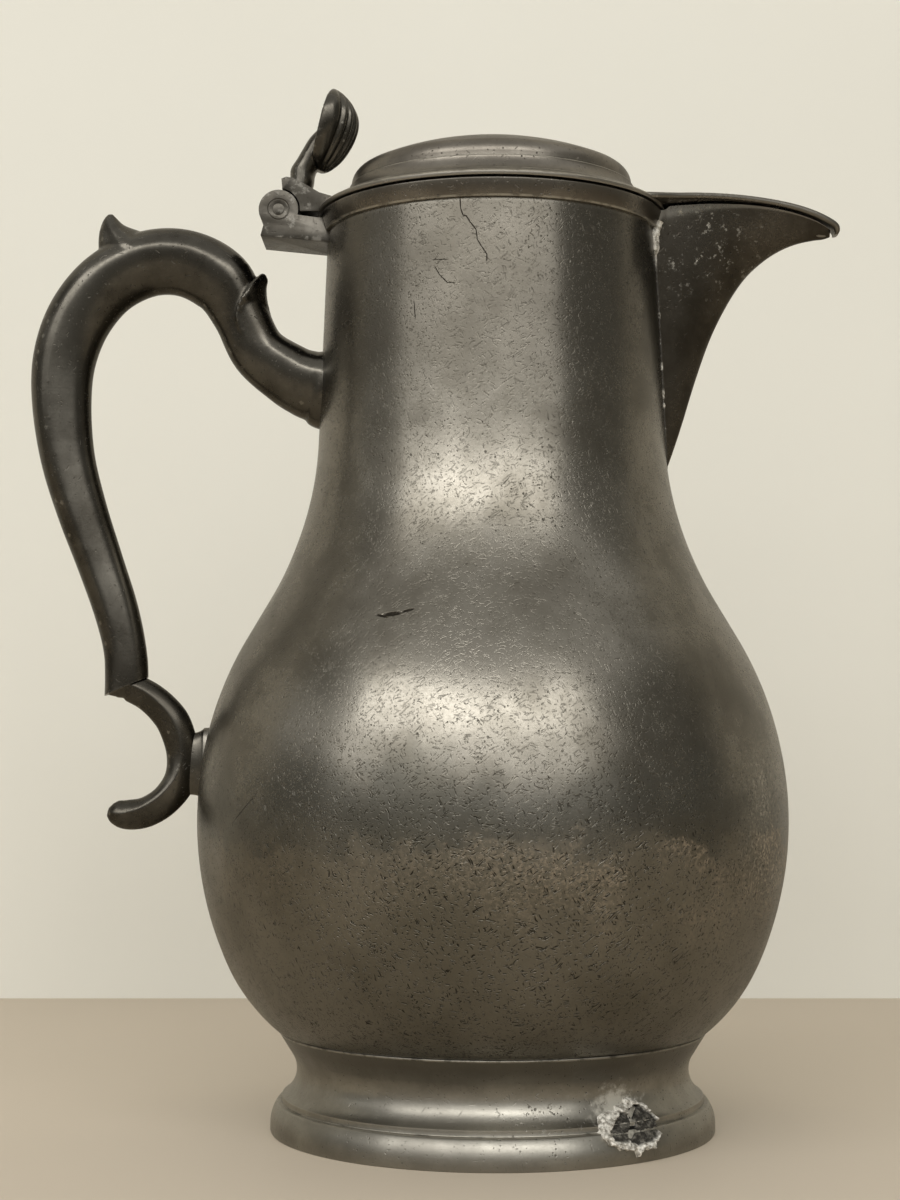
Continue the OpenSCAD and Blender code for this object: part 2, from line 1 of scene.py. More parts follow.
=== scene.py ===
# %% [markdown]
# # A worn pewter flagon
#
# A flagon is a big lidded jug for wine or ale. This one is old pewter: a turned, pear-shaped
# body on a spool foot, a beak spout, a cast scroll handle, and a domed lid on a pin hinge.
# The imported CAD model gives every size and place. Here each solid gets the soft edges, the
# castings' flowing forms and the tarnish that plain solids don't have.

# %% Load the frame
import json
import math

import bmesh
import bpy
import numpy as np
from mathutils import Matrix, Vector, noise

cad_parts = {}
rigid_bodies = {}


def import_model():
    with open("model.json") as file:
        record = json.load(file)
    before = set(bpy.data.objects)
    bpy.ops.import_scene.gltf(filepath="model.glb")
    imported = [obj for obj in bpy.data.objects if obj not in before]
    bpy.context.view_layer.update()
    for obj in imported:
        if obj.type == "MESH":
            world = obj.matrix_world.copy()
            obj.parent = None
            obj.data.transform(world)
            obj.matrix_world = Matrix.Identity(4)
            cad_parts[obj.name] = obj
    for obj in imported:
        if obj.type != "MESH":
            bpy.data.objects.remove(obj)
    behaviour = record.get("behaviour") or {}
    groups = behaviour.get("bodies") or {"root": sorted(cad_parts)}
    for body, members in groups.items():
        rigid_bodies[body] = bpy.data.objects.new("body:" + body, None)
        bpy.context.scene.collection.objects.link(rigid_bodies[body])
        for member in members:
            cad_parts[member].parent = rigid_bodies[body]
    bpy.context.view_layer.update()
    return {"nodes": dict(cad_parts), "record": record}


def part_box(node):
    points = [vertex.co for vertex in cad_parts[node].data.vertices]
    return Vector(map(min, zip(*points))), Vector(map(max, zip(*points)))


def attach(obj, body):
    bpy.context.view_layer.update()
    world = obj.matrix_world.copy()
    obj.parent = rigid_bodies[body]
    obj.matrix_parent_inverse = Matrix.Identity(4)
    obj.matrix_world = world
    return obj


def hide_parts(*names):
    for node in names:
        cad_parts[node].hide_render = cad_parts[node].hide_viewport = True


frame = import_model()
MM = 0.001
X, Z = 0, 2


def ends(node, axis):
    """Where a CAD solid starts and ends along an axis, in mm to a tenth, as its mesh has facets."""
    return [round(corner[axis] / MM, 1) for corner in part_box(node)]


print("nodes:", ", ".join(sorted(frame["nodes"])))

# %% [markdown]
# ## Small helpers for nodes and colours
#
# A colour is easiest to choose as an sRGB hex code, but a shader works in linear light, so one
# function turns the first into the second. Another one adds a node, sets it and links it, which
# keeps every node tree below as short as a recipe. An input takes a number, a colour, a socket,
# or a whole node, whose first output is then linked.

# %% Node and colour helpers
MATH, MIX, RANGE = "ShaderNodeMath", "ShaderNodeMix", "ShaderNodeMapRange"
NOISE, SPLIT, COMBINE = "ShaderNodeTexNoise", "ShaderNodeSeparateXYZ", "ShaderNodeCombineXYZ"
MAPPING, VECTOR = "ShaderNodeMapping", "ShaderNodeVectorMath"
# A Mix node for colours takes its share at input 0 and its two colours at 6 and 7
COLOURS = {"data_type": "RGBA"}
SMOOTH = {"interpolation_type": "SMOOTHSTEP"}


def linear(code):
    """Linear RGBA of an sRGB hex colour."""
    parts = [int(code[i:i + 2], 16) / 255 for i in (1, 3, 5)]
    return [c / 12.92 if c <= 0.04045 else ((c + 0.055) / 1.055) ** 2.4 for c in parts] + [1.0]


def wire(tree, source, socket):
    """Links a socket, or a node's first output, to an input."""
    if isinstance(source, bpy.types.Node):
        source = next(output for output in source.outputs if output.enabled)
    tree.links.new(source, socket)


def add(tree, kind, inputs=(), **settings):
    """Adds a node with its settings; its inputs, in order or by name, are set or linked."""
    node = tree.nodes.new(kind)
    for key, value in settings.items():
        setattr(node, key, value)
    pairs = inputs.items() if isinstance(inputs, dict) else enumerate(inputs)
    for key, value in pairs:
        if isinstance(value, (bpy.types.Node, bpy.types.NodeSocket)):
            wire(tree, value, node.inputs[key])
        else:
            node.inputs[key].default_value = value
    return node


print("pewter grey in linear light:", [round(c, 3) for c in linear("#98938A")[:3]])

# %% [markdown]
# ## Old pewter
#
# Pewter is mostly tin. It is cast, then skimmed on a lathe, and it stays soft, so every knock
# leaves a nick. With age it turns warm grey and dull, in clouds, while hands keep the high parts
# brighter. One function builds the whole family of finishes: cloudy tarnish in the colour, fine
# grain, pits and nicks in the bump, and roughness that follows all of them. Patterns read
# Object coordinates, and every scale is a real size in millimetres.

# %% Parts of the recipe
def new_material(name):
    """New material, with its tree, its Object coordinates and its Principled shader."""
    material = bpy.data.materials.new(name)
    material.use_nodes = True
    tree = material.node_tree
    tree.nodes.clear()
    shader = add(tree, "ShaderNodeBsdfPrincipled", {"Metallic": 1.0})
    add(tree, "ShaderNodeOutputMaterial", {"Surface": shader})
    where = add(tree, "ShaderNodeTexCoord").outputs["Object"]
    return material, tree, where, shader


def speckle(tree, where, scale, size):
    """Pits of mixed sizes, at most one to a cell: 1 in a pit's middle, 0 outside."""
    cells = add(tree, "ShaderNodeTexVoronoi", {"Vector": where, "Scale": scale})
    chance = add(tree, "ShaderNodeSeparateColor", (cells.outputs["Color"],))
    rare = add(tree, MATH, (chance, 4.0), operation="POWER")
    reach = add(tree, MATH, (rare, size, 0.001), operation="MULTIPLY_ADD")
    share = add(tree, MATH, (cells.outputs["Distance"], reach), operation="DIVIDE")
    return add(tree, RANGE, (share, 1.0, 0.45), **SMOOTH)


def dashes(tree, where, marks, size):
    """Pits drawn out into short lines, each kind with its turn in degrees and its cell in mm."""
    total = 0.0
    for turn, cell_mm in marks:
        long = add(tree, MAPPING, {"Vector": where, "Rotation": [math.radians(a) for a in turn],
                                   "Scale": [c * MM for c in cell_mm]}, vector_type="TEXTURE")
        total = add(tree, MATH, (total, speckle(tree, long, 1.0, size)), operation="MAXIMUM")
    return total


def stained(tree, tint, share, strength, code):
    """Tint with a colour laid over it, as far as a share times a strength says."""
    amount = add(tree, MATH, (share, strength), operation="MULTIPLY")
    return add(tree, MIX, {0: amount, 6: tint, 7: linear(code)}, **COLOURS)


def band(tree, value, rise, fall):
    """1 where a value lies between a soft rise and a soft fall, 0 outside."""
    up = add(tree, RANGE, (value, *rise), **SMOOTH)
    down = add(tree, RANGE, (value, *fall), **SMOOTH)
    return add(tree, MATH, (up, down), operation="MULTIPLY")


def chalk(tree, share):
    """Makes a finish less metallic where share is high, as chalky corrosion does."""
    shader = next(n for n in tree.nodes if n.type == "BSDF_PRINCIPLED")
    wire(tree, add(tree, MATH, (1.0, share), operation="SUBTRACT"), shader.inputs["Metallic"])


print("recipe parts ready")

# %% The pewter recipe
BUMP_MM = 0.09
# Cells of the nicks: real ones are down to a tenth of a millimetre wide, and are drawn wider to show
NICK_MM = (6.0, 0.85, 0.85)
NICKS = [(turn, NICK_MM) for turn in ((8, 38, 4), (-12, -47, 15), (5, -8, -10), (20, 80, 0))]
# Rings left by the lathe: really finer than a tenth of a millimetre, and drawn coarser to show
LATHE_MM = (400, 400, 0.9)


def old_pewter(name, bright, tarnish, gloss, cloud_mm=34.0, pits=0.42, nicks=0.30, rubbed=0.45,
               extra=None):
    """Tarnished pewter; gloss is its least roughness, and pits, nicks and rubbed say how worn it is."""
    material, tree, where, shader = new_material(name)
    cloud = add(tree, NOISE, {"Vector": where, "Scale": 1 / (cloud_mm * MM), "Detail": 6.0,
                              "Roughness": 0.62})
    patches = add(tree, NOISE, {"Vector": where, "Scale": 1 / (55.0 * MM), "Detail": 2.0,
                                "Roughness": 0.6})
    worn = add(tree, RANGE, (patches, 0.38, 0.62, 0.35, 1.0), **SMOOTH)
    grain = add(tree, NOISE, {"Vector": where, "Scale": 1 / (0.9 * MM), "Detail": 3.0,
                              "Roughness": 0.6})
    pitted = add(tree, MATH, (speckle(tree, where, 1 / (0.9 * MM), pits),
                              speckle(tree, where, 1 / (2.7 * MM), 0.5 * pits)), operation="MAXIMUM")
    pitted = add(tree, MATH, (pitted, worn), operation="MULTIPLY")
    nicked = add(tree, MATH, (dashes(tree, where, NICKS, nicks), worn), operation="MULTIPLY")
    turned_rings = add(tree, MAPPING, {"Vector": where, "Scale": [c * MM for c in LATHE_MM]},
                       vector_type="TEXTURE")
    lathe = add(tree, NOISE, {"Vector": turned_rings, "Scale": 1.0, "Detail": 3.0, "Roughness": 0.7})

    bright_share = add(tree, RANGE, (cloud, 0.34, 0.66), **SMOOTH)
    tint = add(tree, MIX, {0: bright_share, 6: linear(tarnish), 7: linear(bright)}, **COLOURS)
    dull_share = add(tree, RANGE, (grain, 0.35, 0.75, 0.0, 0.25), **SMOOTH)
    tint = add(tree, MIX, {0: dull_share, 6: tint, 7: linear(tarnish)}, **COLOURS)
    tint = stained(tree, tint, pitted, 0.65, "#2A2824")
    tint = stained(tree, tint, nicked, 0.3, "#3A3732")
    crest = add(tree, "ShaderNodeNewGeometry").outputs["Pointiness"]
    for low, high, share, code in ((0.51, 0.56, rubbed, "#B4B0A6"), (0.49, 0.44, 1.6 * rubbed, "#24221E")):
        edge = add(tree, RANGE, (crest, low, high, 0.0, share), **SMOOTH)
        tint = add(tree, MIX, {0: edge, 6: tint, 7: linear(code)}, **COLOURS)

    polished = add(tree, RANGE, (cloud, 0.3, 0.7), **SMOOTH)
    rough = add(tree, MATH, (polished, -0.07, gloss + 0.07), operation="MULTIPLY_ADD")
    hurt = add(tree, MATH, (pitted, nicked), operation="MAXIMUM")
    for share, amount in ((grain, 0.08), (hurt, 0.2)):
        rough = add(tree, MATH, (share, amount, rough), operation="MULTIPLY_ADD")
    height = add(tree, MATH, (lathe, 0.10), operation="MULTIPLY")
    for share, amount in ((grain, 0.16), (pitted, -0.8), (nicked, -0.6)):
        height = add(tree, MATH, (share, amount, height), operation="MULTIPLY_ADD")

    if extra:
        tint, rough, height = extra(tree, where, tint, rough, height)
    bump = add(tree, "ShaderNodeBump", {"Strength": 1.0, "Distance": BUMP_MM * MM, "Height": height})
    for node, socket in ((tint, "Base Color"), (rough, "Roughness"), (bump, "Normal")):
        wire(tree, node, shader.inputs[socket])
    return material


print("recipe: bump of", BUMP_MM, "mm,", len(NICKS), "kinds of nicks")

# %% Extras of single pieces
SEAM_Z = ends("foot", Z)[1]
NECK_TOP, RIM_Z = ends("rim_collar", Z)
LID_Z = ends("lid", Z)[0]
STEP_Z = 9.0


# Ranges of Object coordinates are in metres, from here on
def worn_and_lit_edges(*bands):
    """Extra for a turned piece: pale lines at given heights, each with its half width, in mm. Each is partly
    rubbed wear and partly a painted highlight along a lit edge.
    """
    def extra(tree, where, tint, rough, height):
        level = add(tree, SPLIT, (where,)).outputs[2]
        patches = add(tree, NOISE, {"Vector": where, "Scale": 1 / (5.0 * MM), "Detail": 4.0,
                                    "Roughness": 0.7})
        patchy = add(tree, RANGE, (patches, 0.36, 0.56), **SMOOTH)
        for middle, half in bands:
            off = add(tree, MATH, (level, middle * MM), operation="SUBTRACT")
            off = add(tree, MATH, (off,), operation="ABSOLUTE")
            # Pale line: rubbed wear in patches, and a painted highlight where a lit edge catches the light
            rubbed = add(tree, RANGE, (off, half * MM, 0.4 * half * MM), **SMOOTH)
            rubbed = add(tree, MATH, (rubbed, patchy), operation="MULTIPLY")
            tint = stained(tree, tint, rubbed, 0.5, "#C4BFB2")
            rough = add(tree, MATH, (rubbed, 0.15, rough), operation="MULTIPLY_ADD")
        return tint, rough, height
    return extra


def foot_extra(tree, where, tint, rough, height):
    """Painted shade at the top of the waist under the belly, pale seam and step lines that are partly rubbed
    wear and partly painted highlights, and a chalky bloom round the mend on the near right.
    """
    level = add(tree, SPLIT, (where,)).outputs[2]
    patches = add(tree, NOISE, {"Vector": where, "Scale": 1 / (14.0 * MM), "Detail": 4.0,
                                "Roughness": 0.6})
    ragged = add(tree, MATH, (patches, 5 * MM, level), operation="MULTIPLY_ADD")
    # Painted shade and reflection: the top of the waist, under the belly, is darkened for the shade there
    # and for the dark underside of the belly that it mirrors
    hollow = add(tree, RANGE, (ragged, 0.021, 0.030), **SMOOTH)
    tint = stained(tree, tint, hollow, 0.75, "#46433B")
    # Pale seam and step lines: rubbed wear and painted highlights of lit edges
    tint, rough, height = worn_and_lit_edges((SEAM_Z - 0.4, 0.45), (STEP_Z, 0.3))(tree, where, tint, rough, height)
    local = add(tree, MAPPING, {"Vector": where, "Location": [c * MM for c in (36.0, -52.0, 13.5)],
                                "Rotation": (0, 0, math.radians(35)),
                                "Scale": [c * MM for c in (14, 40, 11)]}, vector_type="TEXTURE")
    reach = add(tree, VECTOR, (local,), operation="LENGTH")
    crumbs = add(tree, NOISE, {"Vector": where, "Scale": 1 / (2.6 * MM), "Detail": 5.0,
                               "Roughness": 0.75})
    ragged = add(tree, MATH, (crumbs, 1.7, reach), operation="MULTIPLY_ADD")
    bloom = add(tree, RANGE, (ragged, 1.62, 1.10), **SMOOTH)
    bloom = add(tree, MATH, (bloom, 0.55), operation="MULTIPLY")
    tint = add(tree, MIX, {0: bloom, 6: tint, 7: linear("#C9C6BB")}, **COLOURS)
    chalk(tree, bloom)
    return tint, add(tree, MATH, (bloom, 0.3, rough), operation="MULTIPLY_ADD"), height


def spout_extra(tree, where, tint, rough, height):
    """Chalky specks on the spout's sides near the neck."""
    axes = add(tree, SPLIT, (where,)).outputs
    near = add(tree, RANGE, (axes[0], 0.098, 0.064), **SMOOTH)
    high = add(tree, RANGE, (axes[2], 0.246, 0.270), **SMOOTH)
    crumbs = add(tree, NOISE, {"Vector": where, "Scale": 1 / (2.4 * MM), "Detail": 5.0,
                               "Roughness": 0.75})
    specks = add(tree, RANGE, (crumbs, 0.57, 0.67), **SMOOTH)
    for share in (near, high):
        specks = add(tree, MATH, (specks, share), operation="MULTIPLY")
    chalk(tree, add(tree, MATH, (specks, 0.7), operation="MULTIPLY"))
    return stained(tree, tint, specks, 0.7, "#B7B4AA"), rough, height


# Skimmed on a lathe and seldom touched: an even dull grey, with a pale line at its lower edge that is partly
# rubbed wear and partly a painted highlight of the lit edge
SKIMMED = old_pewter("old_pewter_collar", "#78736B", "#5F5A52", 0.20,
                     extra=worn_and_lit_edges((NECK_TOP + 0.3, 0.45)))
# Cast in a mould and held by hands: dark, smooth and glossy, paler on ridges, black in hollows
CAST = old_pewter("old_pewter_cast", "#615E57", "#413E38", 0.18, cloud_mm=22, pits=0.30, nicks=0.24,
                  rubbed=0.28)
# Turned, and scuffed on every table: the palest grey, with a soft, blurred shine
FOOT = old_pewter("old_pewter_foot", "#9C9990", "#817E76", 0.27, cloud_mm=26, extra=foot_extra)
# Turned, with fine mouldings: a dull grey with pale lines at the mouldings' edges, partly rubbed by wiping
# and partly painted highlights of the lit edges
LID = old_pewter("old_pewter_lid", "#89847B", "#6B665E", 0.28, cloud_mm=24,
                 extra=worn_and_lit_edges((LID_Z + 1.3, 0.4), (LID_Z + 3.1, 0.25), (LID_Z + 8.6, 0.3)))
# Sheet, folded and never skimmed: nearly black with tarnish, and chalky near the joint
SPOUT = old_pewter("old_pewter_spout", "#57534C", "#3F3B34", 0.22, cloud_mm=20, extra=spout_extra)
print("finishes:", ", ".join(m.name for m in (SKIMMED, CAST, FOOT, LID, SPOUT)))

# %% [markdown]
# ## What only the body and the hinge carry
#
# The body's lower half has a brown tide mark, as if the jug had stood in damp, a pale bloom on its
# spout side, a hairline crack in the neck and one deep gouge on the shoulder. The hinge's faces are
# crusted, and a ring is scribed round the pin. These are laid over the same recipe: a mark is an
# ellipse in the upright plane through spout and handle, given by its middle, its turn and its two
# lengths, and it shows on the near side only.

# %% Marks on the body
# Marks on the near side: x and z of the middle, turn in degrees, half length and half width, in mm
CRACK = [(-9.9, 272.3, -87, 1.8, 0.20), (-9.5, 269.8, -72, 1.5, 0.20), (-8.6, 268.6, -14, 0.8, 0.22),
         (-7.6, 267.5, -59, 1.5, 0.20), (-6.2, 265.5, -54, 1.8, 0.20), (-5.2, 262.9, -83, 1.9, 0.17),
         (-4.4, 260.4, -59, 1.7, 0.17), (-3.0, 258.2, -58, 1.7, 0.20), (-2.3, 256.1, -92, 1.3, 0.20)]
SCORES = [(-16.5, 252.7, -62, 1.8, 0.16), (-14.7, 250.3, -47, 2.0, 0.16), (-12.6, 249.1, -3, 1.4, 0.14),
          (-15.6, 256.1, -3, 2.6, 0.13), (-23.1, 241.6, -86, 3.0, 0.15), (-70.4, 99.0, -131, 7.2, 0.16)]
GOUGE = [(-29.0, 152.8, 6, 3.4, 0.7), (-24.6, 153.7, 14, 2.2, 0.4), (-31.8, 152.3, -14, 2.0, 0.4)]
# Fine scratches of the low belly: turns in degrees and cells in mm, drawn wider than real to show
SCRATCHES = (((10, 14, 0), (3.6, 0.46, 0.46)), ((-8, -24, 9), (2.6, 0.42, 0.42)),
             ((4, 66, -6), (3.0, 0.44, 0.44)), ((-5, -38, 5), (9.0, 0.42, 0.42)))
ENDLESS_MM = 1e5


def marked(tree, where, marks):
    """1 inside any of the marks, 0 outside, on the near side only."""
    depth = add(tree, SPLIT, (where,)).outputs[1]
    near = add(tree, RANGE, (depth, -0.010, -0.012), **SMOOTH)
    total = 0.0
    for x, z, turn, long, wide in marks:
        local = add(tree, MAPPING, {
            "Vector": where, "Location": (x * MM, 0, z * MM), "Rotation": (0, math.radians(-turn), 0),
            "Scale": (long * MM, ENDLESS_MM * MM, wide * MM)}, vector_type="TEXTURE")
        reach = add(tree, VECTOR, (local,), operation="LENGTH")
        inside = add(tree, RANGE, (reach, 1.0, 0.5), **SMOOTH)
        total = add(tree, MATH, (total, inside), operation="MAXIMUM")
    return add(tree, MATH, (total, near), operation="MULTIPLY")


def scratched(tree, where):
    """Fine crooked scratches, thickest on the low belly."""
    wander = add(tree, NOISE, {"Vector": where, "Scale": 1 / (3.0 * MM), "Detail": 1.0})
    bent = add(tree, VECTOR, (wander.outputs["Color"], (1.6 * MM,) * 3, where), operation="MULTIPLY_ADD")
    level = add(tree, SPLIT, (where,)).outputs[2]
    belly = add(tree, RANGE, (level, 0.125, 0.080, 0.30, 1.0), **SMOOTH)
    return add(tree, MATH, (dashes(tree, bent, SCRATCHES, 0.60), belly), operation="MULTIPLY")


print("marks:", len(CRACK + SCORES + GOUGE))

# %% Body and hinge finishes
PIN_AT = frame["record"]["behaviour"]["joints"][0]["pos_m"]


def damp_marks(tree, where, level, fine):
    """Shares of the brown tide line and of the pale bloom beside it."""
    across, _, up = add(tree, SPLIT, (where,)).outputs
    patches = add(tree, NOISE, {"Vector": where, "Scale": 1 / (24.0 * MM), "Detail": 2.0,
                                "Roughness": 0.6})
    tide = band(tree, level, (0.082, 0.106), (0.112, 0.109))
    for share in (add(tree, RANGE, (fine, 0.46, 0.58), **SMOOTH),
                  add(tree, RANGE, (patches, 0.36, 0.56), **SMOOTH),
                  add(tree, RANGE, (across, -0.045, 0.06, 0.25, 1.0), **SMOOTH)):
        tide = add(tree, MATH, (tide, share), operation="MULTIPLY")
    bloom = band(tree, up, (0.064, 0.080), (0.128, 0.108))
    for share in (add(tree, RANGE, (across, 0.062, 0.080), **SMOOTH),
                  add(tree, RANGE, (fine, 0.50, 0.66), **SMOOTH)):
        bloom = add(tree, MATH, (bloom, share), operation="MULTIPLY")
    return tide, bloom


def body_extra(tree, where, tint, rough, height):
    """Darker neck, olive low belly, slate band, tide line, bloom, scratches and the placed marks."""
    up = add(tree, SPLIT, (where,)).outputs[2]
    ragged = add(tree, NOISE, {"Vector": where, "Scale": 1 / (16.0 * MM), "Detail": 5.0,
                               "Roughness": 0.65})
    fine = add(tree, NOISE, {"Vector": where, "Scale": 1 / (1.1 * MM), "Detail": 4.0, "Roughness": 0.7})
    neck = add(tree, MATH, (ragged, 20 * MM, up), operation="MULTIPLY_ADD")
    neck = add(tree, RANGE, (neck, 0.218, 0.250), **SMOOTH)
    level = add(tree, MATH, (ragged, 44 * MM, up), operation="MULTIPLY_ADD")
    low = add(tree, RANGE, (level, 0.124, 0.098), **SMOOTH)
    slate = band(tree, level, (0.109, 0.113), (0.140, 0.120))
    tide, bloom = damp_marks(tree, where, level, fine)
    scored = scratched(tree, where)
    hurt = marked(tree, where, CRACK + SCORES + GOUGE)
    for share, strength, code in ((neck, 0.6, "#5C5850"), (low, 0.5, "#6C685C"), (slate, 0.36, "#50524E"),
                                  (tide, 0.62, "#9C8D78"), (bloom, 0.6, "#B9B0A0"), (hurt, 0.9, "#1F1B16"),
                                  (scored, 0.85, "#201D18")):
        tint = stained(tree, tint, share, strength, code)
    crusted = add(tree, MATH, (add(tree, MATH, (tide, 0.35), operation="MULTIPLY"),
                               add(tree, MATH, (bloom, 0.6), operation="MULTIPLY")), operation="MAXIMUM")
    chalk(tree, crusted)
    for share, amount in ((low, 0.07), (crusted, 0.4)):
        rough = add(tree, MATH, (share, amount, rough), operation="MULTIPLY_ADD")
    low_grain = add(tree, MATH, (low, fine), operation="MULTIPLY")
    for share, amount in ((scored, -1.1), (hurt, -3.0), (low_grain, 0.35)):
        height = add(tree, MATH, (share, amount, height), operation="MULTIPLY_ADD")
    return tint, rough, height


def hinge_extra(tree, where, tint, rough, height):
    """Ring scribed round the pin, and a pale crust in patches."""
    local = add(tree, MAPPING, {"Vector": where, "Location": PIN_AT,
                                "Scale": (MM, ENDLESS_MM * MM, MM)}, vector_type="TEXTURE")
    ring = band(tree, add(tree, VECTOR, (local,), operation="LENGTH"), (2.9, 3.2), (3.5, 3.2))
    patches = add(tree, NOISE, {"Vector": where, "Scale": 1 / (3.5 * MM), "Detail": 5.0, "Roughness": 0.7})
    crust = add(tree, RANGE, (patches, 0.54, 0.66), **SMOOTH)
    tint = stained(tree, tint, ring, 0.35, "#33302A")
    tint = stained(tree, tint, crust, 0.35, "#A9A69D")
    chalk(tree, add(tree, MATH, (crust, 0.4), operation="MULTIPLY"))
    rough = add(tree, MATH, (crust, 0.2, rough), operation="MULTIPLY_ADD")
    return tint, rough, add(tree, MATH, (ring, -1.2, height), operation="MULTIPLY_ADD")


# Cast and skimmed, then knocked for many years: a broad soft mirror, clouded and nicked
BODY = old_pewter("old_pewter_body", "#8B877E", "#69655C", 0.20, extra=body_extra)
# Filed flat and crusted over: dark and matt, with no rubbed edges
HINGE = old_pewter("old_pewter_hinge", "#5B5852", "#44413B", 0.26, cloud_mm=9, rubbed=0.0,
                   extra=hinge_extra)
print("body finish:", len(BODY.node_tree.nodes), "nodes; hinge finish:", len(HINGE.node_tree.nodes), "nodes")

# %% [markdown]
# ## Solder
#
# Two mends show on this flagon: a bead down the spout's joint and a crust on the foot. Old solder
# oxidises to a chalky, pale grey crumb, so this finish is barely metallic, rough, and lumpy.
# The foot's crust has a dark filling with a crack, which its mesh marks with two attributes.

# %% Solder finish
CRUMB_MM = 0.45


def solder_finish():
    """Pale crumbly solder, darker along the spout's seam and in the foot's filling."""
    material, tree, where, shader = new_material("oxidised_solder")
    crumb = add(tree, NOISE, {"Vector": where, "Scale": 1 / (1.5 * MM), "Detail": 4.0, "Roughness": 0.7})
    fill = add(tree, "ShaderNodeAttribute", attribute_name="filling").outputs["Fac"]
    crack = add(tree, "ShaderNodeAttribute", attribute_name="crack").outputs["Fac"]
    light = add(tree, RANGE, (crumb, 0.36, 0.64), **SMOOTH)
    pale = add(tree, MIX, {0: light, 6: linear("#807C72"), 7: linear("#EBE8DF")}, **COLOURS)
    light = add(tree, RANGE, (crumb, 0.42, 0.74), **SMOOTH)
    dark = add(tree, MIX, {0: light, 6: linear("#33312D"), 7: linear("#85827A")}, **COLOURS)
    seam = band(tree, add(tree, SPLIT, (where,)).outputs[2], (0.15, 0.16), (0.268, 0.260))
    gaps = add(tree, NOISE, {"Vector": where, "Scale": 1 / (4.0 * MM), "Detail": 3.0, "Roughness": 0.6})
    gaps = add(tree, RANGE, (gaps, 0.64, 0.54), **SMOOTH)
    seam = add(tree, MATH, (seam, gaps), operation="MULTIPLY")
    pale = add(tree, MIX, {0: seam, 6: pale, 7: linear("#3D3A34")}, **COLOURS)
    tint = add(tree, MIX, {0: fill, 6: pale, 7: dark}, **COLOURS)
    tint = add(tree, MIX, {0: crack, 6: tint, 7: linear("#070605")}, **COLOURS)
    metal = add(tree, RANGE, (fill, 0.0, 1.0, 0.15, 0.6), **SMOOTH)
    rough = add(tree, RANGE, (crumb, 0.3, 0.7, 0.7, 0.4), **SMOOTH)
    bump = add(tree, "ShaderNodeBump", {"Strength": 1.0, "Distance": CRUMB_MM * MM, "Height": crumb})
    for node, socket in ((tint, "Base Color"), (metal, "Metallic"), (rough, "Roughness"), (bump, "Normal")):
        wire(tree, node, shader.inputs[socket])
    return material


# Oxidised tin and lead: chalky crumbs that scatter light and hardly mirror anything
SOLDER = solder_finish()
print("mend finish:", SOLDER.name)

# %% [markdown]
# ## Plain meshes from nodes and lists
#
# Every piece ends as a plain mesh at the origin, with merged points, outward faces, smooth
# shading, and sharp edges only where two faces meet at a real corner. These helpers do that for
# all of them, and hand the finished piece to the body that carries it.

# %% Mesh helpers
WELD = 2e-6  # metres


def put(name, data):
    """New object in the scene for a mesh, a lamp or a camera."""
    thing = bpy.data.objects.new(name, data)
    bpy.context.scene.collection.objects.link(thing)
    return thing


def mesh_of(name, points_mm, edges=(), faces=()):
    """New mesh from lists, with its points given in mm."""
    mesh = bpy.data.meshes.new(name)
    mesh.from_pydata([tuple(c * MM for c in p) for p in points_mm], edges, faces)
    return mesh


def tidy(mesh, sharp_deg):
    """Merges double points, turns faces outward, and marks corners as sharp."""
    work = bmesh.new()
    work.from_mesh(mesh)
    bmesh.ops.remove_doubles(work, verts=work.verts, dist=WELD / 2)
    bmesh.ops.recalc_face_normals(work, faces=work.faces)
    work.to_mesh(mesh)
    work.free()
    mesh.shade_smooth()
    mesh.set_sharp_from_angle(angle=math.radians(sharp_deg))


def from_lists(name, points_mm, faces, sharp_deg=35):
    """Piece from lists of points and faces."""
    mesh = mesh_of(name, points_mm, (), faces)
    tidy(mesh, sharp_deg)
    return put(name, mesh)


def settle(piece, sharp_deg=35):
    """Turns a piece and its modifiers into a plain mesh."""
    bpy.context.view_layer.update()
    graph = bpy.context.evaluated_depsgraph_get()
    mesh = bpy.data.meshes.new_from_object(piece.evaluated_get(graph))
    piece.modifiers.clear()
    piece.data = mesh
    tidy(mesh, sharp_deg)
    return piece


def cut_away(piece, cutter):
    """Takes the cutter's solid out of a piece."""
    change = piece.modifiers.new("cut", "BOOLEAN")
    change.object = cutter
    change.operation = "DIFFERENCE"
    change.solver = "EXACT"
    settle(piece)
    bpy.data.objects.remove(cutter)
    return piece


def seat(piece, body, slot, material, *nodes):
    """Gives a finished piece its finish and its body, hides the CAD nodes that it stands for, and prints
    them.
    """
    piece.data.materials.clear()
    piece.data.materials.append(material)
    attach(piece, body)
    if nodes:
        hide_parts(*nodes)
    stands_for = ", ".join(nodes) or "itself"
    print(f"{piece.name}: {len(piece.data.polygons)} faces, stands for {stands_for}")


print("points closer than", WELD * 1e6, "micrometres count as one")

# %% [markdown]
# ## The lathe, as a node tree
#
# Body, foot, collar and lid were all turned, so one rule makes them: an outline of points goes
# round the axis. A Screw modifier would do for that too. A node tree is used here because it also
# adds what the lathe and years of use leave behind, a slight unevenness that makes reflections
# waver. The tree draws a grid, rolls it round the axis and takes each row's place from the
# outline's points.

# %% Starts and ends of node trees
def new_tree(name, source, sizes):
    """New tree that turns a source into a mesh, with its named inputs."""
    tree = bpy.data.node_groups.new(name, "GeometryNodeTree")
    tree.interface.new_socket("Geometry", in_out="OUTPUT", socket_type="NodeSocketGeometry")
    tree.interface.new_socket(source, in_out="INPUT", socket_type="NodeSocketGeometry")
    for size, kind in sizes.items():
        tree.interface.new_socket(size, in_out="INPUT", socket_type="NodeSocket" + kind)
    return tree, add(tree, "NodeGroupInput").outputs


